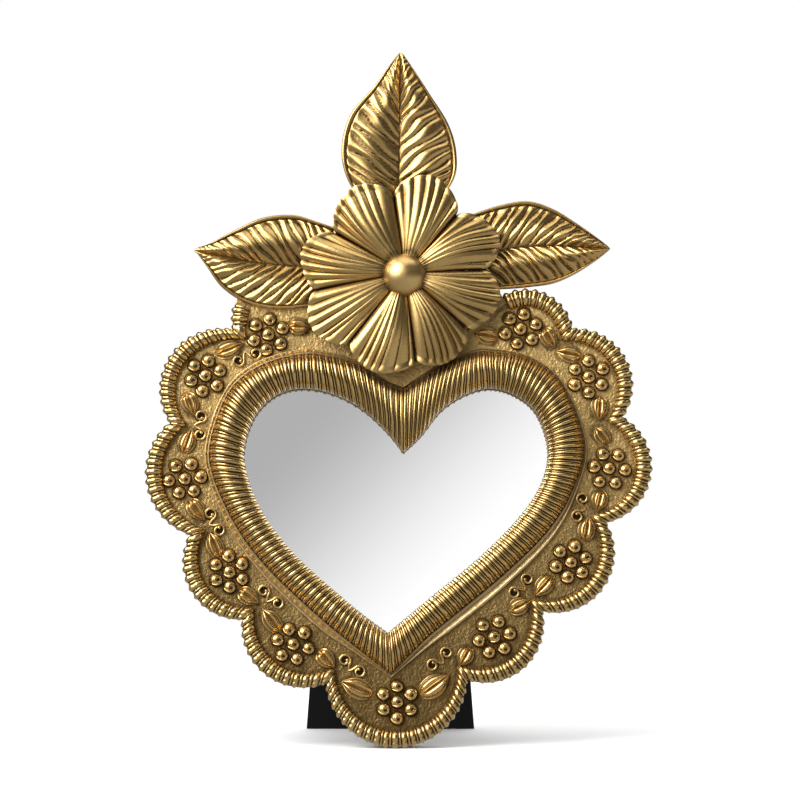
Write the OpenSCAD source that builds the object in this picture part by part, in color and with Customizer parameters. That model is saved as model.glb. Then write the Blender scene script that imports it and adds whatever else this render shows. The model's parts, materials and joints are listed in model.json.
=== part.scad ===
// Heart-shaped table mirror: a scalloped gold frame with a flower, on an easel strut.
// The frame is drawn lying flat with its face up (+Z), then stood up facing -Y and leant back.

/* [Frame] */
// Height of the frame, from the lowest lobe to the tip of the top leaf
frame_h = 300; // [270:1:330]
// Thickness of the back plate
plate_t = 8; // [7:0.5:10]
// How far the plate's edge lies inside the rim's edge
plate_inset = 0.6; // [0.4:0.1:0.8]
// Depth of the flat ground on the lowest lobe
foot_flat = 0.6; // [0.4:0.1:0.6]

/* [Rim] */
// Width of the beaded rim
rim_w = 7.5; // [6.5:0.1:8]
// Height of the rim above the plate
rim_rise = 4.5; // [3.5:0.1:5.5]
// Spacing of the beads along the rim
bead_pitch = 3.1; // [2.8:0.1:6]
// Depth of the groove between two beads
bead_depth = 0.7; // [0.3:0.1:1]

/* [Heart moulding] */
// Thickness of the ledge under the moulding
ledge_t = 1; // [0.8:0.1:1.5]
// Widest part of the ledge outside the moulding
ledge_w = 4.2; // [3.5:0.1:4.4]
// Width of the raised lip along the ledge
lip_w = 0.7; // [0.5:0.1:0.8]
// Height of the lip above the ledge
lip_h = 0.8; // [0.5:0.1:1.2]
// Width of the thin rail at the foot of the ribs
rail_w = 0.5; // [0.4:0.1:0.6]
// Height of the rail above the ledge
rail_h = 0.5; // [0.3:0.1:0.8]
// Height of the moulding above the ledge
moulding_rise = 8.5; // [6:0.1:9.5]
// Spacing of the widest ribs
rib_pitch = 3.1; // [2.9:0.1:6]
// Depth of the groove between two ribs
rib_depth = 0.9; // [0.4:0.1:1.2]

/* [Glass and back] */
// Thickness of the glass
glass_t = 2.5; // [2:0.1:3]
// Thickness of the pad behind the glass
felt_t = 0.5; // [0.3:0.1:0.8]
// Thickness of the backboard
board_t = 2.5; // [2:0.1:3]
// Width of the rebate round the opening
rebate_w = 5; // [4:0.1:6]
// Gap round the glass and the board
fit_gap = 0.3; // [0.2:0.05:0.5]

/* [Ornament] */
// Radius of a berry
berry_r = 2.7; // [2:0.1:2.8]
// Radius of the ring of six berries
cluster_r = 6.7; // [6.5:0.1:6.9]
// Height of a sprig leaf
sprig_rise = 2.4; // [1.5:0.1:3]
// Radius of a scroll's curl
curl_r = 2; // [1.6:0.1:2.1]
// Radius of the wire of a scroll
curl_wire_r = 0.6; // [0.4:0.05:0.7]
// Thickness of a large leaf at its edge
leaf_edge_t = 1.6; // [1.2:0.1:2]
// Height of a large leaf at its fullest
leaf_rise = 5.6; // [4.5:0.1:5.8]
// Depth of the groove between two veins
vein_depth = 0.6; // [0.3:0.1:0.8]

/* [Flower] */
// Radius of the plate's top behind the flower
crown_r = 33; // [30:0.5:34]
// Radius of the seat under the flower
hub_r = 19.5; // [17:0.5:20]
// Height of the seat
hub_h = 6.3; // [6:0.1:8]
// Radius of the spigot that centres the flower
spigot_r = 6; // [4:0.5:7]
// Thickness of the petals
petal_t = 2; // [1.5:0.1:2.5]
// Crown of the petals above their roots
petal_rise = 3.4; // [2:0.1:4.5]
// Depth of the flutes in the petals
flute_depth = 1.1; // [0.5:0.1:1.3]
// Radius of the boss
boss_r = 9.3; // [8:0.1:10]
// Height of the boss
boss_h = 7; // [5:0.1:9]

/* [Strut] */
// Lean of the frame from upright, in degrees
lean = 10; // [8:0.5:12]
// Angle of the open strut to the frame, in degrees
open_angle = 24; // [22:0.5:28]
// Height of the hinge pin on the frame
hinge_y = 158; // [156:1:165]
// Sideways place of the strut
strut_x = -3.8; // [-6:0.1:0]
// Width of the strut's foot
foot_w = 73.5; // [60:0.5:80]
// Width of the strut at its top
strut_top_w = 49; // [44:1:52]
// Thickness of the strut
strut_t = 3; // [2.5:0.1:4]
// Radius of the foot's corners
foot_corner_r = 2; // [1:0.5:4]

/* [Hinge] */
// Width of the hinge
hinge_w = 36; // [32:1:40]
// Thickness of the hinge leaves
hinge_t = 1.2; // [1:0.1:1.5]
// Length of the leaf on the frame
fixed_leaf_l = 22; // [20:1:26]
// Length of the leaf on the strut
moving_leaf_l = 20; // [18:1:26]
// Radius of the hinge pin
pin_r = 1.2; // [1:0.1:1.3]
// Outer radius of the knuckles
knuckle_r = 2.4; // [2.2:0.1:2.6]
// Running clearance round the pin
pin_gap = 0.05; // [0.03:0.01:0.1]
// Gap between neighbouring hinge pieces
hinge_gap = 0.2; // [0.15:0.05:0.3]
// Radius of the heads on the pin
pin_head_r = 2; // [1.8:0.1:2.2]

/* [Fasteners] */
// Radius of the screws and rivets
screw_r = 1.5; // [1.2:0.1:1.8]
// Depth of the screws in the plate
screw_l = 4.5; // [3:0.1:5]
// Radius of their heads
head_r = 2.8; // [2.4:0.1:3.2]
// Height of their heads
head_h = 1.6; // [1.2:0.1:2]
// Clearance round a screw or rivet
screw_gap = 0.1; // [0.05:0.05:0.2]
// Length of a retaining clip
clip_l = 14; // [12:0.5:16]
// Width of a retaining clip
clip_w = 6.5; // [6:0.5:8]
// Thickness of a retaining clip
clip_t = 1; // [0.8:0.1:1.2]

/* [Hidden] */
$fn = 64;

gold = [0.72, 0.56, 0.28];
old_gold = [0.55, 0.42, 0.2];
steel = [0.62, 0.62, 0.64];

// Cuts run past the faces that they open by this much
overrun = 1;
// Pieces that only lie near each other stay this far apart
part_gap = 0.3;

// Lobes of the scalloped outline, clockwise from the upper right: place and radius, over the frame's height
lobe_shares = [
    [0.183, 0.590, 0.068],
    [0.255, 0.520, 0.081],
    [0.282, 0.403, 0.081],
    [0.225, 0.279, 0.084],
    [0.124, 0.178, 0.083],
    [-0.004, 0.103, 0.100],
    [-0.138, 0.175, 0.087],
    [-0.228, 0.267, 0.082],
    [-0.271, 0.394, 0.093],
    [-0.257, 0.514, 0.087],
    [-0.170, 0.616, 0.071]];
// Where the rim ends beside the flower and under the left leaf, in degrees round the first and last lobe
rim_start_turn = 120;
rim_end_turn = 163;
// Shoulders of the plate behind the roots of the side leaves
yoke_shares = [[-0.142, 0.688], [0.138, 0.666]];

// Inner and outer ends of the moulding's ribs, from the notch to the tip, over the frame's height
left_inner_shares = [[0.006, 0.423], [-0.014, 0.449], [-0.050, 0.483], [-0.092, 0.506], [-0.138, 0.515],
    [-0.177, 0.505], [-0.207, 0.475], [-0.222, 0.429], [-0.217, 0.388], [-0.193, 0.334], [-0.147, 0.276],
    [-0.083, 0.219], [-0.049, 0.191], [-0.016, 0.167]];
left_outer_shares = [[0.006, 0.515], [-0.019, 0.525], [-0.063, 0.553], [-0.102, 0.564], [-0.141, 0.568],
    [-0.201, 0.551], [-0.246, 0.514], [-0.273, 0.442], [-0.269, 0.391], [-0.232, 0.314], [-0.183, 0.252],
    [-0.112, 0.186], [-0.065, 0.148], [-0.012, 0.106]];
right_inner_shares = [[0.006, 0.423], [0.033, 0.449], [0.060, 0.483], [0.095, 0.506], [0.131, 0.515],
    [0.167, 0.505], [0.197, 0.479], [0.213, 0.429], [0.204, 0.381], [0.174, 0.334], [0.117, 0.276],
    [0.047, 0.219], [0.013, 0.191], [-0.016, 0.167]];
right_outer_shares = [[0.006, 0.515], [0.047, 0.541], [0.076, 0.555], [0.101, 0.564], [0.127, 0.568],
    [0.188, 0.557], [0.235, 0.519], [0.266, 0.436], [0.250, 0.370], [0.212, 0.309], [0.147, 0.246],
    [0.076, 0.188], [0.036, 0.155], [-0.012, 0.106]];
// Width of the ledge at those points, over its widest
left_ledge_shares = [0.2, 0.2, 0.25, 0.25, 0.25, 0.25, 0.25, 0.3, 0.45, 0.75, 0.9, 0.9, 0.6, 0.3];
right_ledge_shares = [0.2, 0.3, 0.4, 0.4, 0.4, 0.3, 0.25, 0.25, 0.4, 0.8, 1, 1, 0.8, 0.3];
// Spacing of the ribs between those points, over the widest
left_rib_shares = [0.9, 0.95, 1, 1, 1, 1, 1, 1, 1, 0.95, 0.92, 0.88, 0.85];
right_rib_shares = [0.85, 0.82, 0.8, 0.8, 0.8, 0.8, 0.8, 0.8, 0.82, 0.84, 0.84, 0.84, 0.84];

// Berry clusters: place over the frame's height, and turn in degrees
cluster_shares = [
    [0.175, 0.601, 17],
    [0.273, 0.532, 30],
    [0.302, 0.401, 54],
    [0.247, 0.267, 16],
    [0.136, 0.160, 13],
    [-0.003, 0.068, 30],
    [-0.152, 0.150, 45],
    [-0.244, 0.253, 32],
    [-0.308, 0.386, 7],
    [-0.279, 0.534, 19],
    [-0.189, 0.593, 23]];
// Sprig leaves: pointed end over the frame's height, direction in degrees, length over the frame's height
sprig_shares = [
    [-0.129, 0.603, 175, 0.027],
    [-0.226, 0.579, -159, 0.036],
    [-0.295, 0.478, 111, 0.030],
    [-0.299, 0.456, -110, 0.032],
    [-0.281, 0.328, 127, 0.031],
    [-0.272, 0.307, -67, 0.032],
    [-0.203, 0.209, 146, 0.029],
    [-0.195, 0.198, -52, 0.034],
    [-0.094, 0.118, 134, 0.028],
    [-0.081, 0.096, -23, 0.041],
    [0.070, 0.105, -144, 0.043],
    [0.088, 0.120, 62, 0.026],
    [0.188, 0.212, -153, 0.030],
    [0.196, 0.220, 49, 0.032],
    [0.272, 0.330, -99, 0.030],
    [0.285, 0.341, 77, 0.026],
    [0.283, 0.458, -50, 0.025],
    [0.288, 0.471, 88, 0.030],
    [0.229, 0.568, -11, 0.030],
    [0.224, 0.575, 122, 0.028],
    [0.109, 0.594, -11, 0.031]];
// Pairs of scrolls: place of their middle over the frame's height, and the way from one to the other in degrees
scroll_shares = [
    [-0.219, 0.560, 202],
    [-0.286, 0.462, -93],
    [-0.265, 0.324, -62],
    [-0.184, 0.217, -41],
    [-0.067, 0.119, -38],
    [0.058, 0.129, 42],
    [0.175, 0.233, 47],
    [0.260, 0.345, 74]];

// Large leaves, from root to tip: left edge, midrib and right edge at each vein, over the frame's height
top_leaf_shares = [
    [[-0.039, 0.767], [-0.001, 0.754], [0.042, 0.767]],
    [[-0.073, 0.813], [-0.001, 0.777], [0.078, 0.814]],
    [[-0.083, 0.858], [0.000, 0.817], [0.083, 0.852]],
    [[-0.071, 0.908], [0.001, 0.866], [0.072, 0.894]],
    [[-0.036, 0.950], [0.001, 0.915], [0.045, 0.938]],
    [[-0.013, 0.978], [0.001, 0.958], [0.020, 0.974]],
    [[0.000, 0.997], [0.002, 1.000], [0.005, 0.997]]];
left_leaf_shares = [
    [[-0.078, 0.636], [-0.063, 0.688], [-0.082, 0.742]],
    [[-0.134, 0.632], [-0.099, 0.688], [-0.117, 0.754]],
    [[-0.178, 0.629], [-0.131, 0.689], [-0.153, 0.764]],
    [[-0.219, 0.637], [-0.167, 0.692], [-0.197, 0.760]],
    [[-0.255, 0.660], [-0.207, 0.696], [-0.239, 0.741]],
    [[-0.278, 0.691], [-0.247, 0.704], [-0.272, 0.724]],
    [[-0.291, 0.709], [-0.296, 0.713], [-0.292, 0.717]]];
right_leaf_shares = [
    [[0.102, 0.764], [0.081, 0.699], [0.102, 0.656]],
    [[0.145, 0.778], [0.117, 0.706], [0.153, 0.658]],
    [[0.186, 0.784], [0.153, 0.715], [0.188, 0.661]],
    [[0.222, 0.773], [0.188, 0.719], [0.222, 0.666]],
    [[0.258, 0.751], [0.226, 0.720], [0.253, 0.679]],
    [[0.285, 0.732], [0.265, 0.718], [0.283, 0.698]],
    [[0.301, 0.720], [0.305, 0.716], [0.301, 0.712]]];
leaf_veins = 17;

// Flower: place, the directions of the notches between its petals, and the reach of the notches and petals
flower_shares = [0.008, 0.683];
notch_turns = [-42.0, 2.7, 48.6, 98, 149.7, 191, 232, 277.4];
notch_shares = [0.131, 0.121, 0.121, 0.121, 0.122, 0.138, 0.134, 0.135];
crest_shares = [0.141, 0.144, 0.145, 0.144, 0.150, 0.154, 0.148, 0.142];
flutes = 8;

// Retaining clips sit at these steps of each side's rib ends
clip_steps = [4, 7, 11];

// The places above are as the leaning frame shows them, which is a little shorter for its width
width_share = 0.989;

function lerp(a, b, t) = a + (b - a)*t;
function unit(v) = v/norm(v);
function toward(turn) = [cos(turn), sin(turn)];
function place(share) = [share[0]*width_share, share[1]]*frame_h;
function turn_of(v) = atan2(v[1], v[0]);

// Point at t along a smooth curve through the points p, where t counts the points
function curve_at(p, t) =
    let(n = len(p) - 1, i = min(floor(t), n - 1), u = t - i, b = p[i], c = p[i + 1])
    let(a = i > 0 ? p[i - 1] : 2*b - c, d = i + 2 <= n ? p[i + 2] : 2*c - b)
    (2*b + (c - a)*u + (2*a - 5*b + 4*c - d)*u^2 + (3*b - a - 3*c + d)*u^3)/2;

// Line along one side of the heart, a distance outside the inner or the outer ends of the ribs
function inner_line(inner, outer, reach) =
    [for (k = [0:len(inner) - 1]) place(inner[k]) + unit(outer[k] - inner[k])*reach];
function outer_line(inner, outer, reach, ledge) =
    [for (k = [0:len(inner) - 1]) place(outer[k]) + unit(outer[k] - inner[k])*(reach + ledge_w*ledge[k])];

// Closed outline of the heart from its two side lines, which meet at the notch and at the tip
line_steps = 4;
function heart_outline(left, right) = let(last = line_steps*(len(left) - 1)) concat(
    [for (k = [0:last - 1]) curve_at(left, k/line_steps)],
    [for (k = [0:last - 1]) curve_at(right, (last - k)/line_steps)]);
function opening_outline(reach) = heart_outline(
    inner_line(left_inner_shares, left_outer_shares, reach),
    inner_line(right_inner_shares, right_outer_shares, reach));
function ledge_outline(reach) = heart_outline(
    outer_line(left_inner_shares, left_outer_shares, reach, left_ledge_shares),
    outer_line(right_inner_shares, right_outer_shares, reach, right_ledge_shares));

// Solid skinned over rings that each run from the left over the top to the right
module skin(rings, loop = false) {
    n = len(rings);
    m = len(rings[0]);
    spans = loop ? n : n - 1;
    sides = [for (i = [0:spans - 1]) for (j = [0:m - 1])
        let(a = i*m, b = ((i + 1)%n)*m, k = (j + 1)%m)
        each [[a + j, b + k, a + k], [a + j, b + j, b + k]]];
    top = n*m - 1;
    ends = [for (j = [1:m - 2]) each [[0, j, j + 1], [top, top - j, top - j - 1]]];
    polyhedron([for (ring = rings) each ring], concat(sides, loop ? [] : ends), convexity = 10);
}

// Stands the flat frame up on its foot and leans it back
front_y = -(plate_t + rim_rise)*cos(lean);
foot_lobe = lobe_shares[5]*frame_h;
foot_z = (foot_lobe[1] - foot_lobe[2] + plate_inset)*cos(lean) + foot_flat;
module stand() {
    translate([0, -(front_y + strut_back_y)/2, -foot_z]) rotate([-lean, 0, 0]) rotate([90, 0, 0]) children();
}

// Everything below the table top
module floor_cut() {
    translate([-frame_h, -frame_h, -frame_h]) cube([2*frame_h, 2*frame_h, frame_h]);
}

// Everything behind the front face of the plate
module behind_plate() {
    translate([-frame_h, -frame_h, plate_t - frame_h]) cube([2*frame_h, 3*frame_h, frame_h]);
}

rebate_t = glass_t + felt_t + board_t;
mouth_gap = fit_gap;

module plate_field() {
    fill = [for (lobe = lobe_shares) place(lobe)];
    yoke = [for (share = yoke_shares) place(share)];
    linear_extrude(plate_t) polygon(concat(fill, yoke));
    for (lobe = lobe_shares)
        translate(place(lobe)) cylinder(h = plate_t, r = lobe[2]*frame_h - plate_inset);
    translate(flower_place) cylinder(h = plate_t, r = crown_r);
}

module frame_plate() {
    color(old_gold) difference() {
        stand() difference() {
            plate_field();
            translate([0, 0, -overrun]) linear_extrude(plate_t + 2*overrun) polygon(opening_outline(mouth_gap));
            translate([0, 0, -overrun]) linear_extrude(rebate_t + overrun) polygon(opening_outline(rebate_w));
            at_clips() screw_hole();
            at_hinge_screws() screw_hole();
        }
        floor_cut();
    }
}

// Outer point where a lobe meets the next one clockwise, and the rim's inner corner there
function lobe_meet(a, b) =
    let(way = unit(place(b) - place(a)), d = norm(place(b) - place(a)), ra = a[2]*frame_h, rb = b[2]*frame_h)
    let(along = (d^2 + ra^2 - rb^2)/(2*d))
    place(a) + way*along + [-way[1], way[0]]*sqrt(ra^2 - along^2);
function lobe_corner(a, b) =
    let(way = unit(place(b) - place(a))) lobe_meet(a, b) + [way[1], -way[0]]*rim_w;

// How sharply the beads turn to follow the corners
corner_ease = 5;
// Section of the rim from its outer to its inner edge: a full outer hump, a saddle and a small inner knob
rim_section_shares = [[0, 0], [0.06, 0.62], [0.3, 1], [0.58, 0.78], [0.72, 0.52], [0.87, 0.66], [1, 0]];
function bead_ring(out_point, in_point, crest) =
    let(pull = crest ? 0 : bead_depth/rim_w, rise = rim_rise - (crest ? 0 : bead_depth))
    [for (share = rim_section_shares)
        let(p = lerp(out_point, in_point, lerp(pull, 1 - pull, share[0])))
        [p[0], p[1], plate_t + rise*share[1]]];
function clockwise(from, to) = (from - to + 720)%360;
function lobe_rings(i) =
    let(lobe = lobe_shares[i], c = place(lobe), r = lobe[2]*frame_h, last = len(lobe_shares) - 1)
    let(start = i > 0 ? lobe_meet(lobe_shares[i - 1], lobe) : c + r*toward(rim_start_turn),
        start_in = i > 0 ? lobe_corner(lobe_shares[i - 1], lobe) : c + (r - rim_w)*toward(rim_start_turn),
        end = i < last ? lobe_meet(lobe, lobe_shares[i + 1]) : c + r*toward(rim_end_turn),
        end_in = i < last ? lobe_corner(lobe, lobe_shares[i + 1]) : c + (r - rim_w)*toward(rim_end_turn))
    let(from = turn_of(start - c), sweep = clockwise(from, turn_of(end - c)),
        start_tilt = clockwise(from + 180, turn_of(start_in - c)) - 180,
        end_tilt = clockwise(turn_of(end - c) + 180, turn_of(end_in - c)) - 180,
        start_extra = norm(start_in - c) - (r - rim_w), end_extra = norm(end_in - c) - (r - rim_w))
    let(beads = round(sweep/360*2*PI*(r - rim_w/2)/bead_pitch), rings = 2*beads)
    [for (k = [0:rings - (i < last ? 1 : 0)])
        let(s = k/rings, near_start = (1 - s)^corner_ease, near_end = s^corner_ease)
        let(turn = from - sweep*s, in_turn = turn - start_tilt*near_start - end_tilt*near_end)
        let(in_r = r - rim_w + start_extra*near_start + end_extra*near_end)
        bead_ring(c + r*toward(turn), c + in_r*toward(in_turn), k%2 == 1)];

module scallop_rim() {
    color(gold) stand() skin([for (i = [0:len(lobe_shares) - 1]) each lobe_rings(i)]);
}

function rail_outline(reach) = heart_outline(
    outer_line(left_inner_shares, left_outer_shares, reach, 0*left_ledge_shares),
    outer_line(right_inner_shares, right_outer_shares, reach, 0*right_ledge_shares));

module moulding_plinth() {
    ledge_top = plate_t + ledge_t;
    color(gold) stand() {
        translate([0, 0, plate_t]) linear_extrude(ledge_t) difference() {
            polygon(ledge_outline(0));
            polygon(opening_outline(mouth_gap));
        }
        translate([0, 0, ledge_top]) linear_extrude(lip_h) difference() {
            polygon(ledge_outline(0));
            polygon(ledge_outline(-lip_w));
        }
        translate([0, 0, ledge_top]) linear_extrude(rail_h) intersection() {
            polygon(ledge_outline(0));
            difference() {
                polygon(rail_outline(part_gap + rail_w));
                polygon(rail_outline(part_gap));
            }
        }
    }
}

// Rings of the ribbed half-round, with a crest between two grooves for each rib
moulding_sides = 6;
function rib_ring(in_point, out_point, crest) =
    let(pull = crest ? 0 : rib_depth/3/norm(out_point - in_point), rise = moulding_rise - (crest ? 0 : rib_depth))
    [for (j = [0:moulding_sides])
        let(turn = 180*j/moulding_sides, across = lerp(pull, 1 - pull, (1 - cos(turn))/2))
        let(p = lerp(in_point, out_point, across))
        [p[0], p[1], plate_t + ledge_t + rise*sin(turn)]];
function rib_count(inner, outer, pitch, k) =
    let(step = norm(inner[k + 1] + outer[k + 1] - inner[k] - outer[k])/2) max(1, round(step/(rib_pitch*pitch[k])));
function side_rings(inner, outer, pitch) = [for (k = [0:len(inner) - 2])
    let(n = rib_count(inner, outer, pitch, k))
    for (j = [0:2*n - 1]) let(t = k + j/(2*n)) rib_ring(curve_at(inner, t), curve_at(outer, t), j%2 == 1)];

module heart_moulding() {
    left_in = inner_line(left_inner_shares, left_outer_shares, 0);
    left_out = outer_line(left_inner_shares, left_outer_shares, 0, 0*left_ledge_shares);
    right_in = inner_line(right_inner_shares, right_outer_shares, 0);
    right_out = outer_line(right_inner_shares, right_outer_shares, 0, 0*right_ledge_shares);
    down = side_rings(left_in, left_out, left_rib_shares);
    right = side_rings(right_in, right_out, right_rib_shares);
    tip = [rib_ring(left_in[len(left_in) - 1], left_out[len(left_out) - 1], false)];
    up = [for (k = [len(right) - 1:-1:1]) right[k]];
    color(gold) stand() skin(concat(down, tip, up), loop = true);
}

// One berry: a ball with a round furrow about its crown
berry_seat = 0.45*berry_r;
furrow_r = 0.5*berry_r;
furrow_wire_r = 0.16*berry_r;
module berry() {
    translate([0, 0, plate_t + berry_seat]) difference() {
        sphere(r = berry_r);
        translate([0, 0, sqrt(berry_r^2 - furrow_r^2)])
            rotate_extrude() translate([furrow_r, 0]) circle(r = furrow_wire_r);
    }
}

module berry_clusters() {
    color(gold) stand() difference() {
        for (cluster = cluster_shares) translate(place(cluster)) {
            berry();
            for (k = [0:5]) rotate(cluster[2] + 60*k) translate([cluster_r, 0, 0]) berry();
        }
        behind_plate();
    }
}

// Sprig leaf of unit length along X: a raised border and two full halves beside a furrow
sprig_width_share = 0.32;
sprig_station_shares = [[0, 0.08], [0.25, 0.75], [0.55, 1], [0.82, 0.75], [1, 0.15]];
function sprig_ring(station, length) =
    let(half = sprig_width_share*station[1]*length, rise = sprig_rise*sqrt(station[1]))
    [for (p = [[1, 0], [0.93, 0.7], [0.7, 0.55], [0.42, 1], [0, 0.5], [-0.42, 1], [-0.7, 0.55], [-0.93, 0.7], [-1, 0]])
        [station[0]*length, half*p[0], plate_t + rise*p[1]]];

module leaf_sprigs() {
    color(gold) stand() for (sprig = sprig_shares)
        translate(place(sprig)) rotate(sprig[2])
            skin([for (station = sprig_station_shares) sprig_ring(station, sprig[3]*frame_h)]);
}

// One curl of a scroll, open towards -Y, with a bead in its middle
curl_sweep = 270;
scroll_gap = 1.65*curl_r;
module curl() {
    rotate(-60) rotate_extrude(angle = curl_sweep) translate([curl_r, 0]) circle(r = curl_wire_r);
    sphere(r = 1.4*curl_wire_r);
}

module scrolls() {
    color(gold) stand() difference() {
        for (scroll = scroll_shares) translate([0, 0, plate_t]) translate(place(scroll)) rotate(scroll[2]) {
            translate([scroll_gap, 0, 0]) curl();
            mirror([1, 0, 0]) translate([scroll_gap, 0, 0]) curl();
        }
        behind_plate();
    }
}

// Large leaf: full halves between the thin edges and the sunken midrib, with a ridge for each vein
leaf_full_share = 0.45;
leaf_midrib_share = 0.6;
// How far a vein runs ahead of the rows above on its way from the midrib to the edge, in rows
vein_lead_share = 0.4;
function leaf_ring(rows, t, ridge) =
    let(ends = len(rows) - 1, fade = min(1, (ends - t)/2), dip = (ridge ? 0 : vein_depth)*fade)
    let(ahead = t + vein_lead_share*sin(180*t/ends), m = curve_at([for (row = rows) place(row[1])], t),
        e1 = curve_at([for (row = rows) place(row[0])], ahead), e2 = curve_at([for (row = rows) place(row[2])], ahead))
    let(full = leaf_edge_t + (leaf_rise - leaf_edge_t)*fade - dip,
        low = leaf_edge_t + (leaf_rise - leaf_edge_t)*fade*leaf_midrib_share - dip)
    let(p1 = lerp(e1, m, leaf_full_share), p2 = lerp(e2, m, leaf_full_share))
    [[e1[0], e1[1], plate_t], [e1[0], e1[1], plate_t + leaf_edge_t - dip/2], [p1[0], p1[1], plate_t + full],
        [m[0], m[1], plate_t + low], [p2[0], p2[1], plate_t + full],
        [e2[0], e2[1], plate_t + leaf_edge_t - dip/2], [e2[0], e2[1], plate_t]];

module veined_leaf(rows) {
    last = 2*leaf_veins;
    color(gold) stand() skin([for (k = [0:last]) leaf_ring(rows, k/last*(len(rows) - 1), k%2 == 1)]);
}

module top_leaf() {
    veined_leaf(top_leaf_shares);
}

module left_leaf() {
    veined_leaf(left_leaf_shares);
}

module right_leaf() {
    veined_leaf(right_leaf_shares);
}

// Flower: a seat with a spigot, the fluted corolla over it and the boss on top
flower_place = place(flower_shares);
petal_root = plate_t + hub_h;

module flower_hub() {
    color(old_gold) stand() translate([flower_place[0], flower_place[1], plate_t]) {
        cylinder(h = hub_h, r = hub_r);
        cylinder(h = hub_h + petal_t, r = spigot_r);
    }
}

// Reach of the corolla at a step of s along petal i, and its section from the spigot to the edge and back
corolla_steps = 2*flutes;
petal_fullness = 0.6;
function petal_reach(i, s) =
    let(a = notch_shares[i], b = notch_shares[(i + 1)%len(notch_shares)])
    frame_h*lerp(lerp(a, b, s), crest_shares[i], sin(180*s)^petal_fullness);
function petal_ring(i, k) =
    let(s = k/corolla_steps, reach = petal_reach(i, s), next = notch_turns[(i + 1)%len(notch_turns)])
    let(sweep = (next - notch_turns[i] + 360)%360, turn = notch_turns[i] + sweep*s)
    let(dip = k == 0 ? 1.4*flute_depth : k%2 == 0 ? flute_depth : 0, way = toward(turn))
    let(profile = [
        [spigot_r + pin_gap, 0],
        [spigot_r + pin_gap, petal_t],
        [boss_r, petal_t],
        [0.5*reach, petal_t + 0.55*petal_rise - 0.8*dip],
        [0.82*reach, petal_t + petal_rise - dip],
        [reach, petal_t + 0.7*petal_rise - 0.6*dip],
        [reach, 0.7*petal_rise - 0.2*dip],
        [0.62*reach, 0.45*petal_rise],
        [hub_r, 0]])
    [for (p = profile) [flower_place[0] + p[0]*way[0], flower_place[1] + p[0]*way[1], petal_root + p[1]]];

module flower() {
    color(gold) stand() skin(loop = true,
        rings = [for (i = [0:len(notch_turns) - 1]) for (k = [0:corolla_steps - 1]) petal_ring(i, k)]);
}

module flower_boss() {
    dome_r = (boss_r^2 + boss_h^2)/(2*boss_h);
    color(gold) stand() translate([flower_place[0], flower_place[1], petal_root + petal_t]) intersection() {
        translate([0, 0, boss_h - dome_r]) sphere(r = dome_r);
        cylinder(h = boss_h + overrun, r = boss_r + overrun);
    }
}

module heart_sheet(from, thickness) {
    stand() translate([0, 0, from]) linear_extrude(thickness) polygon(opening_outline(rebate_w - fit_gap));
}

module mirror_glass() {
    color([0.85, 0.87, 0.9]) heart_sheet(board_t + felt_t, glass_t);
}

module felt_pad() {
    color([0.25, 0.25, 0.27]) heart_sheet(board_t, felt_t);
}

module backboard() {
    color([0.35, 0.27, 0.2]) heart_sheet(0, board_t);
}

// Screws point into the plate from behind: their origin is on its back face
module screw_hole(through = 0) {
    translate([0, 0, -through - overrun]) cylinder(h = screw_l + through + 2*overrun, r = screw_r + screw_gap);
}

module screw(through) {
    translate([0, 0, -through]) cylinder(h = screw_l + through, r = screw_r);
    translate([0, 0, -through]) intersection() {
        scale_r = (head_r^2 + head_h^2)/(2*head_h);
        translate([0, 0, scale_r - head_h]) sphere(r = scale_r);
        translate([0, 0, -head_h - overrun]) cylinder(h = head_h + overrun, r = head_r + overrun);
    }
}

// Clips point over the board along the rib that they sit at
clip_screw_x = rebate_w/2 + screw_r;
module at_clips() {
    for (side = [[left_inner_shares, left_outer_shares], [right_inner_shares, right_outer_shares]])
        for (k = clip_steps) {
            edge = inner_line(side[0], side[1], rebate_w)[k];
            way = side[1][k] - side[0][k];
            translate(edge) rotate(turn_of(way)) translate([clip_screw_x, 0, 0]) children();
        }
}

module clip() {
    tail = clip_w/2;
    difference() {
        union() {
            translate([tail - clip_l, -clip_w/2, -clip_t]) cube([clip_l - tail, clip_w, clip_t]);
            translate([0, 0, -clip_t]) cylinder(h = clip_t, r = tail);
        }
        screw_hole(clip_t);
    }
}

module retaining_clips() {
    color(steel) stand() at_clips() clip();
}

module clip_screws() {
    color(steel) stand() at_clips() screw(clip_t);
}

// The hinge pin lies behind the plate, clear of it by half a hinge gap
pin_depth = knuckle_r + hinge_gap/2;
knuckles = 5;
knuckle_pitch = (hinge_w + hinge_gap)/knuckles;
knuckle_w = knuckle_pitch - hinge_gap;
leaf_start = knuckle_r + 2*hinge_gap;
module at_pin() {
    translate([strut_x, hinge_y, -pin_depth]) children();
}

module at_knuckles(first) {
    for (k = [first:2:knuckles - 1]) translate([k*knuckle_pitch - hinge_w/2, 0, 0]) children();
}

module knuckle() {
    rotate([0, 90, 0]) cylinder(h = knuckle_w, r = knuckle_r);
}

module pin_bore() {
    translate([-hinge_w, 0, 0]) rotate([0, 90, 0]) cylinder(h = 2*hinge_w, r = pin_r + pin_gap);
}

// The strut's face and its hinge leaf's face, from the pin; the heel stops the strut at the fixed leaf
strut_face = knuckle_r + hinge_gap/2;
moving_face = strut_face - hinge_t;
heel_l = (pin_depth - hinge_t - hinge_gap/2 + moving_face*cos(open_angle))/sin(open_angle);

hinge_screw_x = hinge_w/2 - 1.4*head_r;
hinge_screw_y = [heel_l + head_r + hinge_gap, fixed_leaf_l - 1.4*head_r];
module at_hinge_screws() {
    translate([strut_x, hinge_y, 0]) for (x = [-hinge_screw_x, hinge_screw_x]) for (y = hinge_screw_y)
        translate([x, y, 0]) children();
}

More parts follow.
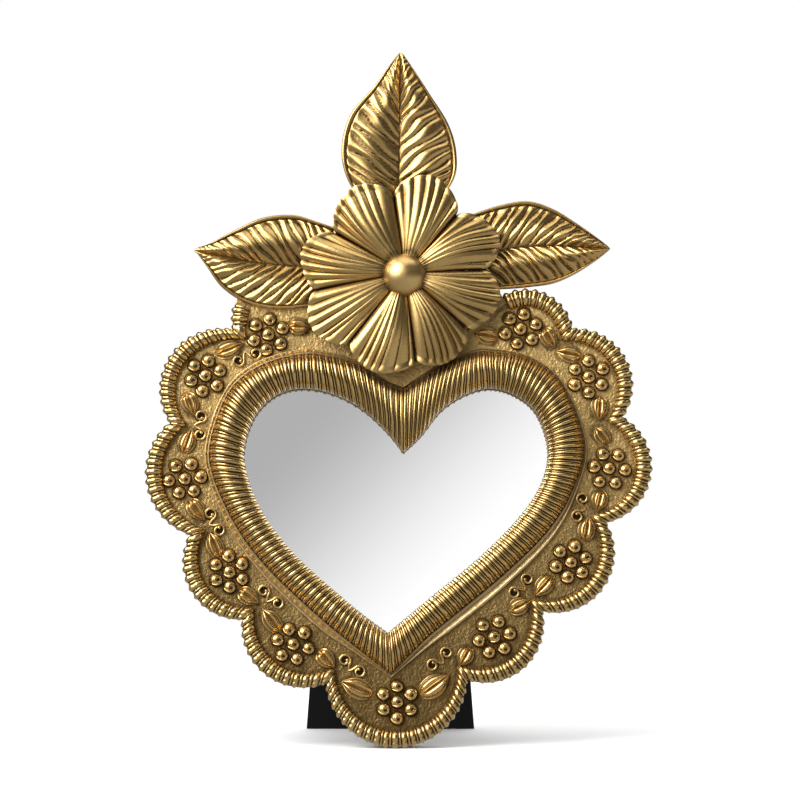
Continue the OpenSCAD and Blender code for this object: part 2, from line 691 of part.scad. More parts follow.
module hinge_plate() {
    color(steel) stand() difference() {
        at_pin() {
            translate([-hinge_w/2, leaf_start, pin_depth - hinge_t])
                cube([hinge_w, fixed_leaf_l - leaf_start, hinge_t]);
            at_knuckles(0) {
                knuckle();
                translate([0, 0, pin_depth - hinge_t]) cube([knuckle_w, fixed_leaf_l, hinge_t]);
            }
        }
        at_pin() pin_bore();
        at_hinge_screws() screw_hole(hinge_t);
    }
}

module hinge_screws() {
    color(steel) stand() at_hinge_screws() screw(hinge_t);
}

module hinge_pin() {
    pin_l = hinge_w + 2*hinge_gap;
    color(steel) stand() at_pin() translate([-pin_l/2, 0, 0]) rotate([0, 90, 0]) {
        cylinder(h = pin_l, r = pin_r);
        translate([0, 0, -hinge_t]) cylinder(h = hinge_t, r = pin_head_r);
        translate([0, 0, pin_l]) cylinder(h = hinge_t, r = pin_head_r);
    }
}

// The strut is drawn shut against the frame, with its pin at the origin, and opened by open_angle
module opened() {
    stand() at_pin() rotate([open_angle, 0, 0]) children();
}

strut_slope = open_angle - lean;
pin_z = hinge_y*cos(lean) - pin_depth*sin(lean) - foot_z;
pin_back_y = hinge_y*sin(lean) + pin_depth*cos(lean);
strut_l = (pin_z + (strut_face + strut_t)*sin(strut_slope))/cos(strut_slope);
strut_back_y = pin_back_y + strut_l*sin(strut_slope) + (strut_face + strut_t)*cos(strut_slope);
strut_head = leaf_start + hinge_t;

rivet_x = hinge_w/2 - 2*head_r;
rivet_y = [leaf_start + 1.4*head_r, moving_leaf_l - 1.4*head_r];
module at_rivets() {
    for (x = [-rivet_x, rivet_x]) for (y = rivet_y) translate([x, -y, 0]) children();
}

module rivet_hole() {
    translate([0, 0, -frame_h/2]) cylinder(h = frame_h, r = screw_r + screw_gap);
}

module easel_leg() {
    top = strut_top_w/2;
    foot = foot_w/2;
    r = foot_corner_r;
    color([0.06, 0.06, 0.06]) difference() {
        opened() difference() {
            translate([0, 0, -strut_face - strut_t]) {
                linear_extrude(strut_t) polygon([[-top, strut_head], [top, strut_head], [foot, r - strut_l],
                    [foot - r, -strut_l], [r - foot, -strut_l], [-foot, r - strut_l]]);
                for (x = [r - foot, foot - r]) translate([x, r - strut_l, 0]) cylinder(h = strut_t, r = r);
            }
            at_rivets() rivet_hole();
        }
        floor_cut();
    }
}

module hinge_leaf() {
    color(steel) opened() difference() {
        union() {
            translate([-hinge_w/2, -moving_leaf_l, -strut_face])
                cube([hinge_w, moving_leaf_l - leaf_start, hinge_t]);
            at_knuckles(1) {
                knuckle();
                translate([0, -moving_leaf_l, -strut_face]) cube([knuckle_w, moving_leaf_l + heel_l, hinge_t]);
            }
        }
        pin_bore();
        at_rivets() rivet_hole();
    }
}

module leg_rivets() {
    rivet_head_h = head_h/2;
    color(steel) opened() at_rivets() {
        translate([0, 0, -strut_face - strut_t]) cylinder(h = strut_t + hinge_t, r = screw_r);
        for (z = [-moving_face, -strut_face - strut_t - rivet_head_h])
            translate([0, 0, z]) cylinder(h = rivet_head_h, r = head_r);
    }
}

frame_plate();
scallop_rim();
moulding_plinth();
heart_moulding();
berry_clusters();
leaf_sprigs();
scrolls();
top_leaf();
left_leaf();
right_leaf();
flower_hub();
flower();
flower_boss();
mirror_glass();
felt_pad();
backboard();
retaining_clips();
clip_screws();
hinge_plate();
hinge_screws();
hinge_pin();
easel_leg();
hinge_leaf();
leg_rivets();
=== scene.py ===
import bisect
import json
import math
import random
import bpy
from mathutils import Matrix, Vector, kdtree

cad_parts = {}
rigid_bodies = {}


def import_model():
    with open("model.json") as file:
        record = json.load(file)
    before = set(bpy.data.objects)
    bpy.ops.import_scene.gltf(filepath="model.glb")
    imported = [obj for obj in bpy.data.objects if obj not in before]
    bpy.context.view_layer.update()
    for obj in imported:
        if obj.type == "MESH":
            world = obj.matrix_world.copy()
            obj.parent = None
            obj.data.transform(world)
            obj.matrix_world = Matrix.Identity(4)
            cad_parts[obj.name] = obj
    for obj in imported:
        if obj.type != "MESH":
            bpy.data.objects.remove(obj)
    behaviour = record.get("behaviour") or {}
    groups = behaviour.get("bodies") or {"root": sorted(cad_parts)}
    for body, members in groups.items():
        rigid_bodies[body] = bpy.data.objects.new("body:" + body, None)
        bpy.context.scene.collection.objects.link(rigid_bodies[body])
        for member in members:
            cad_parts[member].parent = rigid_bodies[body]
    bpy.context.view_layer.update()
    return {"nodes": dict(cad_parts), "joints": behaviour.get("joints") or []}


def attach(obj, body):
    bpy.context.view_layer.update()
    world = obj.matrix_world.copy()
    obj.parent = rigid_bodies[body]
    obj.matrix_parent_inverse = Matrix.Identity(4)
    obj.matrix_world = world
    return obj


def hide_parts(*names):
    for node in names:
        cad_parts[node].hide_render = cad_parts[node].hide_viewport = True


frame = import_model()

bpy.ops.object.select_all(action="DESELECT")

# Camera: a long lens three metres in front of the table mirror and a little above it, so that it looks
# down on the table by a few degrees.
camera_place = (0.0004, -3.0, 0.3178)
camera_dip = math.radians(3.278)
bpy.ops.object.camera_add(location=camera_place, rotation=(math.pi/2 - camera_dip, 0, 0))
camera = bpy.context.object
camera.name = "studio_camera"
camera.data.sensor_width = 36
camera.data.lens = 315
bpy.context.scene.camera = camera
bpy.context.scene.view_settings.view_transform = "Standard"

# Studio: a white table top in a white room, lit by a large soft lamp at the upper left, a weaker one on the
# right and one overhead. The gold reflects a dim room with a bright window at the upper left, and the glass
# a wall that pales towards the lower right.
table_size = 30
fade_start, fade_end = 0.12, 0.45
dusk_left, dusk_right, dusk_reach = 0.32, 0.58, 0.25


def node(tree, kind, links=(), **settings):
    """Node with its settings, and with its inputs set to a value or joined to an output."""
    made = tree.nodes.new(kind)
    for key, value in settings.items():
        setattr(made, key, value)
    for key, value in dict(links).items():
        if isinstance(value, bpy.types.NodeSocket):
            tree.links.new(value, made.inputs[key])
        else:
            made.inputs[key].default_value = value
    return made


bpy.ops.mesh.primitive_plane_add(size=table_size, location=(0, 0, 0))
table_top = bpy.context.object
table_top.name = "table_top"
paper = bpy.data.materials.new("white_paper")
paper.use_nodes = True
tree = paper.node_tree
sheet = tree.nodes["Principled BSDF"]
sheet.inputs["Base Color"].default_value = (0.93, 0.93, 0.93, 1)
sheet.inputs["Roughness"].default_value = 0.9
# The paper runs out into the same white as the walls, a little way round the mirror's shadow
place = node(tree, "ShaderNodeTexCoord").outputs["Object"]
away = node(tree, "ShaderNodeVectorMath", {0: place}, operation="LENGTH")
fade = node(tree, "ShaderNodeMapRange", {"Value": away.outputs["Value"], "From Min": fade_start,
    "From Max": fade_end}, interpolation_type="SMOOTHSTEP")
glow = node(tree, "ShaderNodeEmission", {"Color": (1, 1, 1, 1)})
blend = node(tree, "ShaderNodeMixShader", {0: fade.outputs[0], 1: sheet.outputs[0], 2: glow.outputs[0]})
# The gold sees a dimmer table top than the camera does, dimmest on the left
across = node(tree, "ShaderNodeSeparateXYZ", {0: place})
shade = node(tree, "ShaderNodeMapRange", {"Value": across.outputs["X"], "From Min": -dusk_reach,
    "From Max": dusk_reach, "To Min": dusk_left, "To Max": dusk_right})
dusk = node(tree, "ShaderNodeEmission", {"Color": shade.outputs[0]})
mirrored = node(tree, "ShaderNodeLightPath").outputs["Is Glossy Ray"]
two_fold = node(tree, "ShaderNodeMixShader", {0: mirrored, 1: blend.outputs[0], 2: dusk.outputs[0]})
tree.links.new(two_fold.outputs[0], tree.nodes["Material Output"].inputs["Surface"])
table_top.data.materials.append(paper)

room_way = (-0.60, -0.70, 0.39)
window_way = (-0.66, -0.50, 0.56)
wall_way = (0.695, 0, -0.719)
world = bpy.data.worlds.new("white_studio")
bpy.context.scene.world = world
world.use_nodes = True
tree = world.node_tree
tree.nodes.clear()
path = node(tree, "ShaderNodeLightPath")
way = node(tree, "ShaderNodeTexCoord").outputs["Generated"]
front = node(tree, "ShaderNodeVectorMath", {0: way, 1: room_way}, operation="DOT_PRODUCT")
room = node(tree, "ShaderNodeMapRange", {"Value": front.outputs["Value"], "From Min": 0.55, "From Max": 1.0,
    "To Min": 0.03, "To Max": 0.7}, interpolation_type="SMOOTHSTEP")
upper = node(tree, "ShaderNodeVectorMath", {0: way, 1: window_way}, operation="DOT_PRODUCT")
window = node(tree, "ShaderNodeMapRange", {"Value": upper.outputs["Value"], "From Min": 0.76, "From Max": 0.93,
    "To Min": 0, "To Max": 1.75}, interpolation_type="SMOOTHSTEP")
lit = node(tree, "ShaderNodeMath", {0: room.outputs[0], 1: window.outputs[0]}, operation="ADD")
slant = node(tree, "ShaderNodeVectorMath", {0: way, 1: wall_way}, operation="DOT_PRODUCT")
wall = node(tree, "ShaderNodeMapRange", {"Value": slant.outputs["Value"], "From Min": -0.2151,
    "From Max": -0.1808, "To Min": 0.459, "To Max": 1.12}, interpolation_type="SMOOTHSTEP")
air = node(tree, "ShaderNodeBackground", {"Color": (1, 1, 1, 1), "Strength": 0.75})
dim = node(tree, "ShaderNodeBackground", {"Color": (1, 1, 1, 1), "Strength": lit.outputs[0]})
clear = node(tree, "ShaderNodeBackground", {"Color": wall.outputs[0]})
white = node(tree, "ShaderNodeBackground", {"Color": (1, 1, 1, 1)})
glossy = node(tree, "ShaderNodeMixShader", {0: path.outputs["Is Glossy Ray"], 1: air.outputs[0],
    2: dim.outputs[0]})
through = node(tree, "ShaderNodeMixShader", {0: path.outputs["Is Transmission Ray"], 1: glossy.outputs[0],
    2: clear.outputs[0]})
seen = node(tree, "ShaderNodeMixShader", {0: path.outputs["Is Camera Ray"], 1: through.outputs[0],
    2: white.outputs[0]})
node(tree, "ShaderNodeOutputWorld", {0: seen.outputs[0]})

for name, place, aim, size, power in [
        ("key_lamp", (-0.94, -0.60, 1.02), (0, 0, 0.15), 1.1, 24),
        ("fill_lamp", (0.95, -0.75, 0.35), (0, 0, 0.13), 1.1, 7),
        ("top_lamp", (0.15, 0.10, 1.25), (0, 0, 0.15), 1.0, 6)]:
    bpy.ops.object.light_add(type="AREA", location=place)
    lamp = bpy.context.object
    lamp.name = name
    lamp.data.size = size
    lamp.data.energy = power
    # The fill lamp lightens the shadows but doesn't glint in the gold
    lamp.visible_glossy = name != "fill_lamp"
    lamp.rotation_euler = (Vector(aim) - Vector(place)).to_track_quat("-Z", "Y").to_euler()

# Cast base: a scalloped slab of resin, pierced by the heart, that carries all the ornament.
# It was cast face up, so each piece is modelled lying flat with its face up, in metres, and then
# stood up and leant back about its hinge pin. Places are shares of the frame's height.
tall = 0.3
narrow = 0.989
lean = math.radians(10)
slab = 0.008
pin_on_slab = Vector((-0.0038, 0.158, -0.0025))
stand_turn = Matrix.Rotation(math.pi/2 - lean, 4, "X")
hinge_pin = Vector(frame["joints"][0]["pos_m"])
stand = Matrix.Translation(hinge_pin - stand_turn @ pin_on_slab) @ stand_turn

# The antique finish: gold rubbed over a brown ground, which stays dark in every groove. The same brown is also
# painted shade, in the grooves, round the foot of each ornament and on the flat ground near it. The mark that
# darkens it is 0 on a crest and 1 at the foot of a groove or in the darkest painted shade.
antique_and_shade = bpy.data.node_groups.new("antique_finish_and_shade", "ShaderNodeTree")
for name, in_out, kind in [
        ("Gold", "INPUT", "NodeSocketColor"), ("Ground", "INPUT", "NodeSocketColor"),
        ("Patina and Shade", "INPUT", "NodeSocketFloat"), ("Roughness", "INPUT", "NodeSocketFloat"),
        ("Mottle", "INPUT", "NodeSocketFloat"), ("Color", "OUTPUT", "NodeSocketColor"),
        ("Roughness", "OUTPUT", "NodeSocketFloat"), ("Height", "OUTPUT", "NodeSocketFloat")]:
    antique_and_shade.interface.new_socket(name, in_out=in_out, socket_type=kind)
inside = node(antique_and_shade, "NodeGroupInput")
where = node(antique_and_shade, "ShaderNodeTexCoord").outputs["Object"]
broad = node(antique_and_shade, "ShaderNodeTexNoise", {"Vector": where, "Scale": 70, "Detail": 4, "Roughness": 0.6})
grain = node(antique_and_shade, "ShaderNodeTexNoise", {"Vector": where, "Scale": 900, "Detail": 3, "Roughness": 0.6})
stirred = node(antique_and_shade, "ShaderNodeMath", {0: grain.outputs[0], 1: 0.5}, operation="SUBTRACT")
edge = node(antique_and_shade, "ShaderNodeMath", {0: stirred.outputs[0], 1: 0.5, 2: inside.outputs["Patina and Shade"]},
    operation="MULTIPLY_ADD")
dark = node(antique_and_shade, "ShaderNodeMapRange", {"Value": edge.outputs[0], "From Min": 0.2, "From Max": 1.0},
    interpolation_type="SMOOTHSTEP")
mottled = node(antique_and_shade, "ShaderNodeMapRange", {"Value": broad.outputs[0], "From Min": 0.35, "From Max": 0.75})
mottling = node(antique_and_shade, "ShaderNodeMath", {0: mottled.outputs[0], 1: inside.outputs["Mottle"]},
    operation="MULTIPLY")
shade_and_mottle = node(antique_and_shade, "ShaderNodeMath", {0: dark.outputs[0], 1: mottling.outputs[0]}, operation="ADD",
    use_clamp=True)
paint = node(antique_and_shade, "ShaderNodeMix", {0: shade_and_mottle.outputs[0], 6: inside.outputs["Gold"],
    7: inside.outputs["Ground"]}, data_type="RGBA")
dull = node(antique_and_shade, "ShaderNodeMath", {0: shade_and_mottle.outputs[0], 1: 0.3, 2: inside.outputs["Roughness"]},
    operation="MULTIPLY_ADD", use_clamp=True)
rough = node(antique_and_shade, "ShaderNodeMath", {0: stirred.outputs[0], 1: 0.2, 2: dull.outputs[0]},
    operation="MULTIPLY_ADD", use_clamp=True)
swell = node(antique_and_shade, "ShaderNodeMath", {0: broad.outputs[0], 1: 2.5, 2: grain.outputs[0]},
    operation="MULTIPLY_ADD")
node(antique_and_shade, "NodeGroupOutput", {"Color": paint.outputs[2], "Roughness": rough.outputs[0],
    "Height": swell.outputs[0]})
# The brown ground of the finish, which also paints the shade
brown_ground_and_shade = (0.042, 0.022, 0.007, 1)


def antique_gold(name, gold, roughness, mottle=0.15, bump=0.1):
    """Gold finish of one kind of piece, with the brown ground and painted shade where its mark attribute says."""
    made = bpy.data.materials.new(name)
    made.use_nodes = True
    tree = made.node_tree
    shader = tree.nodes["Principled BSDF"]
    groove = node(tree, "ShaderNodeAttribute", attribute_name="groove").outputs["Fac"]
    finish = node(tree, "ShaderNodeGroup", node_tree=antique_and_shade)
    finish.inputs["Gold"].default_value = (*gold, 1)
    finish.inputs["Ground"].default_value = brown_ground_and_shade
    finish.inputs["Roughness"].default_value = roughness
    finish.inputs["Mottle"].default_value = mottle
    tree.links.new(groove, finish.inputs["Patina and Shade"])
    relief = node(tree, "ShaderNodeBump", {"Strength": bump, "Distance": 0.0005,
        "Height": finish.outputs["Height"]})
    tree.links.new(finish.outputs["Color"], shader.inputs["Base Color"])
    tree.links.new(finish.outputs["Roughness"], shader.inputs["Roughness"])
    tree.links.new(relief.outputs[0], shader.inputs["Normal"])
    shader.inputs["Metallic"].default_value = 0.95
    return made


def dress(piece, material):
    piece.data.materials.clear()
    piece.data.materials.append(material)


# The flat ground is browner than the ornament, with painted shade that darkens it towards the table
shaded_low_tan, lit_high_tan = (0.19, 0.12, 0.04), (0.76, 0.515, 0.195)
cast_ground = antique_gold("cast_ground", gold=lit_high_tan, roughness=0.36, mottle=0.35, bump=0.8)
tree = cast_ground.node_tree
height = node(tree, "ShaderNodeSeparateXYZ", {0: node(tree, "ShaderNodeTexCoord").outputs["Object"]})
upward = node(tree, "ShaderNodeMapRange", {"Value": height.outputs["Z"], "From Min": 0.02, "From Max": 0.2})
tan = node(tree, "ShaderNodeMix", {0: upward.outputs[0], 6: (*shaded_low_tan, 1), 7: (*lit_high_tan, 1)}, data_type="RGBA")
finish = next(made for made in tree.nodes if made.type == "GROUP")
tree.links.new(tan.outputs[2], finish.inputs["Gold"])
dress(frame["nodes"]["frame_plate"], cast_ground)

# Scalloped rim: a rope of cast hoops laid across the slab's edge, each with a full inner hump, a slight saddle
# and a round outer knob, and a thin hoop between each two. They are laid once for each bead of the eleven
# lobes, each of which is given by its middle and its radius.
lobe_shares = [
    (0.183, 0.590, 0.068), (0.255, 0.520, 0.081), (0.282, 0.403, 0.081), (0.225, 0.279, 0.084),
    (0.124, 0.178, 0.083), (-0.004, 0.103, 0.100), (-0.138, 0.175, 0.087), (-0.228, 0.267, 0.082),
    (-0.271, 0.394, 0.093), (-0.257, 0.514, 0.087), (-0.170, 0.616, 0.071)]
rim_wide = 0.0075
rim_rise = 0.0045
knob_proud = 0.0005
bead_pitch = 0.0036
rim_start, rim_end = math.radians(120), math.radians(163)
saddle_at = -0.30


def on_slab(share):
    """Place on the flat slab for a share of the frame's height."""
    return Vector((share[0]*tall*narrow, share[1]*tall, 0))


def select_only(piece):
    if bpy.context.object and bpy.context.object.mode != "OBJECT":
        bpy.ops.object.mode_set(mode="OBJECT")
    bpy.ops.object.select_all(action="DESELECT")
    piece.select_set(True)
    bpy.context.view_layer.objects.active = piece


def stand_up(piece):
    """Leans a finished flat piece back with the frame and leaves its place in its mesh."""
    select_only(piece)
    piece.matrix_world = stand @ piece.matrix_world
    bpy.ops.object.transform_apply(location=True, rotation=True, scale=True)


def join_all(pieces, name):
    """Joins copies that are cast together into one piece."""
    select_only(pieces[0])
    for piece in pieces:
        piece.select_set(True)
    bpy.ops.object.join()
    joined = bpy.context.object
    joined.name = name
    joined.data.name = name
    return joined


def half_hoop(name, steps, around, girth, plump):
    """Half ring over the X axis from -1 to 1, spun from a section girth thick and plump along Y."""
    bpy.ops.object.select_all(action="DESELECT")
    bpy.ops.mesh.primitive_circle_add(vertices=around, radius=1, location=(0, 0, 0))
    hoop = bpy.context.object
    hoop.name = name
    bpy.ops.object.mode_set(mode="EDIT")
    bpy.ops.mesh.select_all(action="SELECT")
    bpy.ops.transform.resize(value=(girth, plump, 1))
    bpy.ops.transform.translate(value=(girth - 1, 0, 0))
    bpy.ops.mesh.spin(steps=steps, angle=-math.pi, center=(0, 0, 0), axis=(0, 1, 0))
    bpy.ops.mesh.select_all(action="SELECT")
    bpy.ops.mesh.fill_holes(sides=0)
    bpy.ops.mesh.select_all(action="SELECT")
    bpy.ops.mesh.normals_make_consistent(inside=False)
    bpy.ops.object.mode_set(mode="OBJECT")
    bpy.ops.object.shade_smooth()
    return hoop


def mark_points(piece, darknesses):
    """Stores how deep each point of a piece lies in a groove or in painted shade, from 0 to 1."""
    marks = piece.data.attributes.new("groove", "FLOAT", "POINT")
    for mark, darkness in zip(marks.data, darknesses):
        mark.value = min(1, max(0, darkness))


def mark_groove(piece, darkness_at):
    mark_points(piece, [darkness_at(point.co) for point in piece.data.vertices])


def lay_between(unit, near, far, base, rise):
    """Copy of a unit hoop whose -X end lies on the near line and whose +X end lies on the far one.
    near and far each hold the points where the hoop's two sides, at -Y and +Y, meet that line."""
    copy = unit.copy()
    copy.data = unit.data.copy()
    bpy.context.scene.collection.objects.link(copy)
    for point in copy.data.vertices:
        across, along = (point.co.x + 1)/2, point.co.y + 0.5
        spot = near[0].lerp(near[1], along).lerp(far[0].lerp(far[1], along), across)
        point.co = (spot.x, spot.y, base + point.co.z*rise)
    return copy


def circle_meet(a, b):
    """Outer point where two neighbouring lobes meet, and the rim's inner corner there."""
    way = on_slab(b) - on_slab(a)
    gap = way.length
    way.normalize()
    ra, rb = a[2]*tall, b[2]*tall
    along = (gap**2 + ra**2 - rb**2)/(2*gap)
    outer = on_slab(a) + way*along + Vector((-way.y, way.x, 0))*math.sqrt(ra**2 - along**2)
    return outer, outer - Vector((-way.y, way.x, 0))*rim_wide


bead = half_hoop("bead", steps=18, around=12, girth=0.36, plump=0.56)
thin_bead = half_hoop("thin_bead", steps=14, around=8, girth=0.25, plump=0.58)
for unit, hump in ((bead, 1.0), (thin_bead, 0.84)):
    for point in unit.data.vertices:
        saddle = math.exp(-((point.co.x - saddle_at)/0.18)**2)
        round_end = math.sqrt(max(0.04, 1 - max(0, (-point.co.x - 0.66)/0.345)**2))
        point.co.z = max(0, point.co.z)**0.8*hump*(1 - 0.13*saddle)
        point.co.y *= (1 - 0.16*saddle)*round_end
        if unit == thin_bead and point.co.x < 0:
            point.co.x *= 0.76
    # Painted shade, with the patina of the finish: darker at each bead's sides, foot and saddle, and on the thin beads
    mark_groove(unit, lambda p: (abs(p.y)/0.5)**3*0.8 + max(0, 0.3 - p.z)*1.2
        + 0.15*math.exp(-((p.x - saddle_at)/0.2)**2) + (0.15 if unit == thin_bead else 0))
# No two beads of the casting are quite alike
shuffle = random.Random(11)
beads = []
last = len(lobe_shares) - 1
for i, lobe in enumerate(lobe_shares):
    middle, r = on_slab(lobe), lobe[2]*tall

    def at(turn, reach):
        return middle + Vector((math.cos(turn), math.sin(turn), 0))*reach

    start = circle_meet(lobe_shares[i - 1], lobe) if i else (at(rim_start, r), at(rim_start, r - rim_wide))
    end = circle_meet(lobe, lobe_shares[i + 1]) if i < last else (at(rim_end, r), at(rim_end, r - rim_wide))
    turns = [math.atan2(p.y - middle.y, p.x - middle.x) for p in (*start, *end)]
    sweep = (turns[0] - turns[2])%(2*math.pi)
    # The beads at a corner between two lobes lean into it, and their inner ends reach for the corner
    tilts = [(turns[k] - turns[k + 1] + math.pi)%(2*math.pi) - math.pi for k in (0, 2)]
    extra = [(corner[1] - middle).length - r + rim_wide for corner in (start, end)]
    count = round(sweep*(r - rim_wide/2)/bead_pitch)

    def sides(s):
        near_start, near_end = (1 - s)**5, s**5
        turn = turns[0] - sweep*s
        inner = turn - tilts[0]*near_start - tilts[1]*near_end
        return at(turn, r + knob_proud), at(inner, r - rim_wide + extra[0]*near_start + extra[1]*near_end)

    marks = [(k + (shuffle.uniform(-0.09, 0.09) if 0 < k < count else 0))/count for k in range(count + 1)]
    for k in range(count):
        split = marks[k] + (marks[k + 1] - marks[k])*shuffle.uniform(0.62, 0.69)
        for unit, begin, stop in ((bead, marks[k], split), (thin_bead, split, marks[k + 1])):
            (out_a, in_a), (out_b, in_b) = sides(begin), sides(stop)
            rise = rim_rise*shuffle.uniform(0.95, 1.03)
            beads.append(lay_between(unit, (out_a, out_b), (in_a, in_b), slab, rise))
bpy.data.objects.remove(bead)
bpy.data.objects.remove(thin_bead)
rim = join_all(beads, "rim_beads")
stand_up(rim)
# The lowest knobs are worn flat where the mirror stands on them
for point in rim.data.vertices:
    point.co.z = max(0, point.co.z)
dress(rim, antique_gold("rim_gold", gold=(0.66, 0.45, 0.175), roughness=0.25))
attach(rim, "frame")
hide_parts("scallop_rim")

# Heart moulding: a half-round of close cast ribs round the glass, which fan out at the notch and at the tip.
# A broad rib and a fine one are modelled as half hoops and laid in turn, wider spaced on the left. Each pair
# of shares is a place on the moulding's inner line and the one across from it on its outer line.
heart_shares = {
    "left": [
        ((0.006, 0.423), (0.006, 0.515)), ((-0.014, 0.449), (-0.019, 0.525)),
        ((-0.050, 0.483), (-0.0627, 0.5514)), ((-0.092, 0.506), (-0.1014, 0.5607)),
        ((-0.138, 0.515), (-0.1408, 0.5637)), ((-0.177, 0.505), (-0.1991, 0.5475)),
        ((-0.207, 0.475), (-0.2439, 0.5119)), ((-0.222, 0.429), (-0.2711, 0.4415)),
        ((-0.217, 0.388), (-0.268, 0.3909)), ((-0.193, 0.334), (-0.232, 0.314)),
        ((-0.147, 0.276), (-0.183, 0.252)), ((-0.083, 0.219), (-0.112, 0.186)),
        ((-0.049, 0.191), (-0.065, 0.148)), ((-0.016, 0.167), (-0.012, 0.106))],
    "right": [
        ((0.006, 0.423), (0.006, 0.515)), ((0.033, 0.449), (0.047, 0.541)), ((0.060, 0.483), (0.076, 0.555)),
        ((0.095, 0.506), (0.101, 0.564)), ((0.131, 0.515), (0.127, 0.568)), ((0.167, 0.505), (0.188, 0.557)),
        ((0.197, 0.479), (0.235, 0.519)), ((0.213, 0.429), (0.266, 0.436)), ((0.204, 0.381), (0.250, 0.370)),
        ((0.174, 0.334), (0.212, 0.309)), ((0.117, 0.276), (0.147, 0.246)), ((0.047, 0.219), (0.076, 0.188)),
        ((0.013, 0.191), (0.036, 0.155)), ((-0.016, 0.167), (-0.012, 0.106))]}
rib_pitch = 0.0031
rib_shares = {
    "left": [0.9, 0.95, 1, 1, 1, 1, 1, 1, 1, 0.95, 0.92, 0.88, 0.85],
    "right": [0.85, 0.82, 0.8, 0.8, 0.8, 0.8, 0.8, 0.8, 0.82, 0.84, 0.84, 0.84, 0.84]}
ledge_thick = 0.001
moulding_rise = 0.0085


def curve_at(points, t):
    """Point at t along a smooth curve through the points, where t counts them."""
    n = len(points) - 1
    i = min(int(t), n - 1)
    u, b, c = t - i, points[i], points[i + 1]
    a = points[i - 1] if i else 2*b - c
    d = points[i + 2] if i + 2 <= n else 2*c - b
    return (2*b + (c - a)*u + (2*a - 5*b + 4*c - d)*u**2 + (3*b - a - 3*c + d)*u**3)/2


def heart_lines(side):
    """Inner and outer line of the ribs on one side, flat on the slab."""
    return [[on_slab(pair[k]) for pair in heart_shares[side]] for k in range(2)]


rib = half_hoop("rib", steps=20, around=12, girth=0.20, plump=0.55)
fine_rib = half_hoop("fine_rib", steps=18, around=8, girth=0.12, plump=0.58)
for point in fine_rib.data.vertices:
    point.co.z *= 0.88
    point.co.x *= 0.965
# Painted shade, with the patina of the finish: darker at each rib's sides and foot, and on the fine ribs
mark_groove(rib, lambda p: (abs(p.y)/0.5)**4*1.4 + max(0, 0.2 - p.z)*1.2)
mark_groove(fine_rib, lambda p: 0.1 + (abs(p.y)/0.5)**3*0.8 + max(0, 0.2 - p.z)*1.2)
ribs = []
for side in heart_shares:
    inner, outer = heart_lines(side)
    for k, pitch in enumerate(rib_shares[side]):
        step = (inner[k + 1] + outer[k + 1] - inner[k] - outer[k]).length/2
        count = max(1, round(step/(rib_pitch*pitch)))
        marks = [k + (j + (shuffle.uniform(-0.1, 0.1) if 0 < j < count else 0))/count for j in range(count + 1)]
        for a, b in zip(marks, marks[1:]):
            split = a + (b - a)*shuffle.uniform(0.62, 0.70)
            for unit, begin, stop in ((rib, a, split), (fine_rib, split, b)):
                near = (curve_at(inner, begin), curve_at(inner, stop))
                far = (curve_at(outer, begin), curve_at(outer, stop))
                rise = moulding_rise*shuffle.uniform(0.975, 1.01)
                ribs.append(lay_between(unit, near, far, slab + ledge_thick, rise))
bpy.data.objects.remove(rib)
bpy.data.objects.remove(fine_rib)
moulding = join_all(ribs, "moulding_ribs")
stand_up(moulding)
dress(moulding, antique_gold("moulding_gold", gold=(0.66, 0.45, 0.175), roughness=0.22))
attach(moulding, "frame")
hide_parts("heart_moulding")

# Ledge: a thin band of the same casting round the foot of the ribs, with two thin rails beside them and a
# raised lip along its edge. It is narrow beside the lobes of the heart and widens along its lower sides.
ledge_wide = 0.0042
ledge_shares = {
    "left": [0.2, 0.2, 0.37, 0.49, 0.56, 0.54, 0.46, 0.44, 0.52, 0.75, 0.9, 0.9, 0.6, 0.3],
    "right": [0.2, 0.3, 0.4, 0.4, 0.4, 0.3, 0.25, 0.25, 0.4, 0.8, 1, 1, 0.8, 0.3]}
ledge_tuck = 0.0015
rail_high = 0.00045
# Each row: reach over the band's width, then a reach in from its lip, then the heights of rail and lip.
# The last row, with a lip below 0, is the foot of the band's outer face.
ledge_profile = [
    (0, 1, 0, 0), (0.12, 1, 0, 0), (0.22, 1, 1, 0), (0.34, 1, 1, 0), (0.44, 1, 0, 0), (0.52, 1, 0, 0),
    (0.62, 1, 0.7, 0), (0.74, 1, 0.7, 0), (0.84, 1, 0, 0), (1, 1.12, 0, 0), (1, 1.0, 0, 0.2), (1, 0.7, 0, 0.5),
    (1, 0.4, 0, 0.85), (1, 0.22, 0, 1), (1, 0.06, 0, 0.75), (1, 0, 0, 0.2), (1, 0, 0, -1)]


def strip(name, lines):
    """Sheet skinned over lines of points, one row for each, as a grid whose points are moved there."""
    rows, columns = len(lines), len(lines[0])
    bpy.ops.object.select_all(action="DESELECT")
    bpy.ops.mesh.primitive_grid_add(x_subdivisions=columns - 1, y_subdivisions=rows - 1, size=1, location=(0, 0, 0))
    sheet = bpy.context.object
    sheet.name = name
    for point, spot in zip(sheet.data.vertices, (spot for line in lines for spot in line)):
        point.co = spot
    return sheet


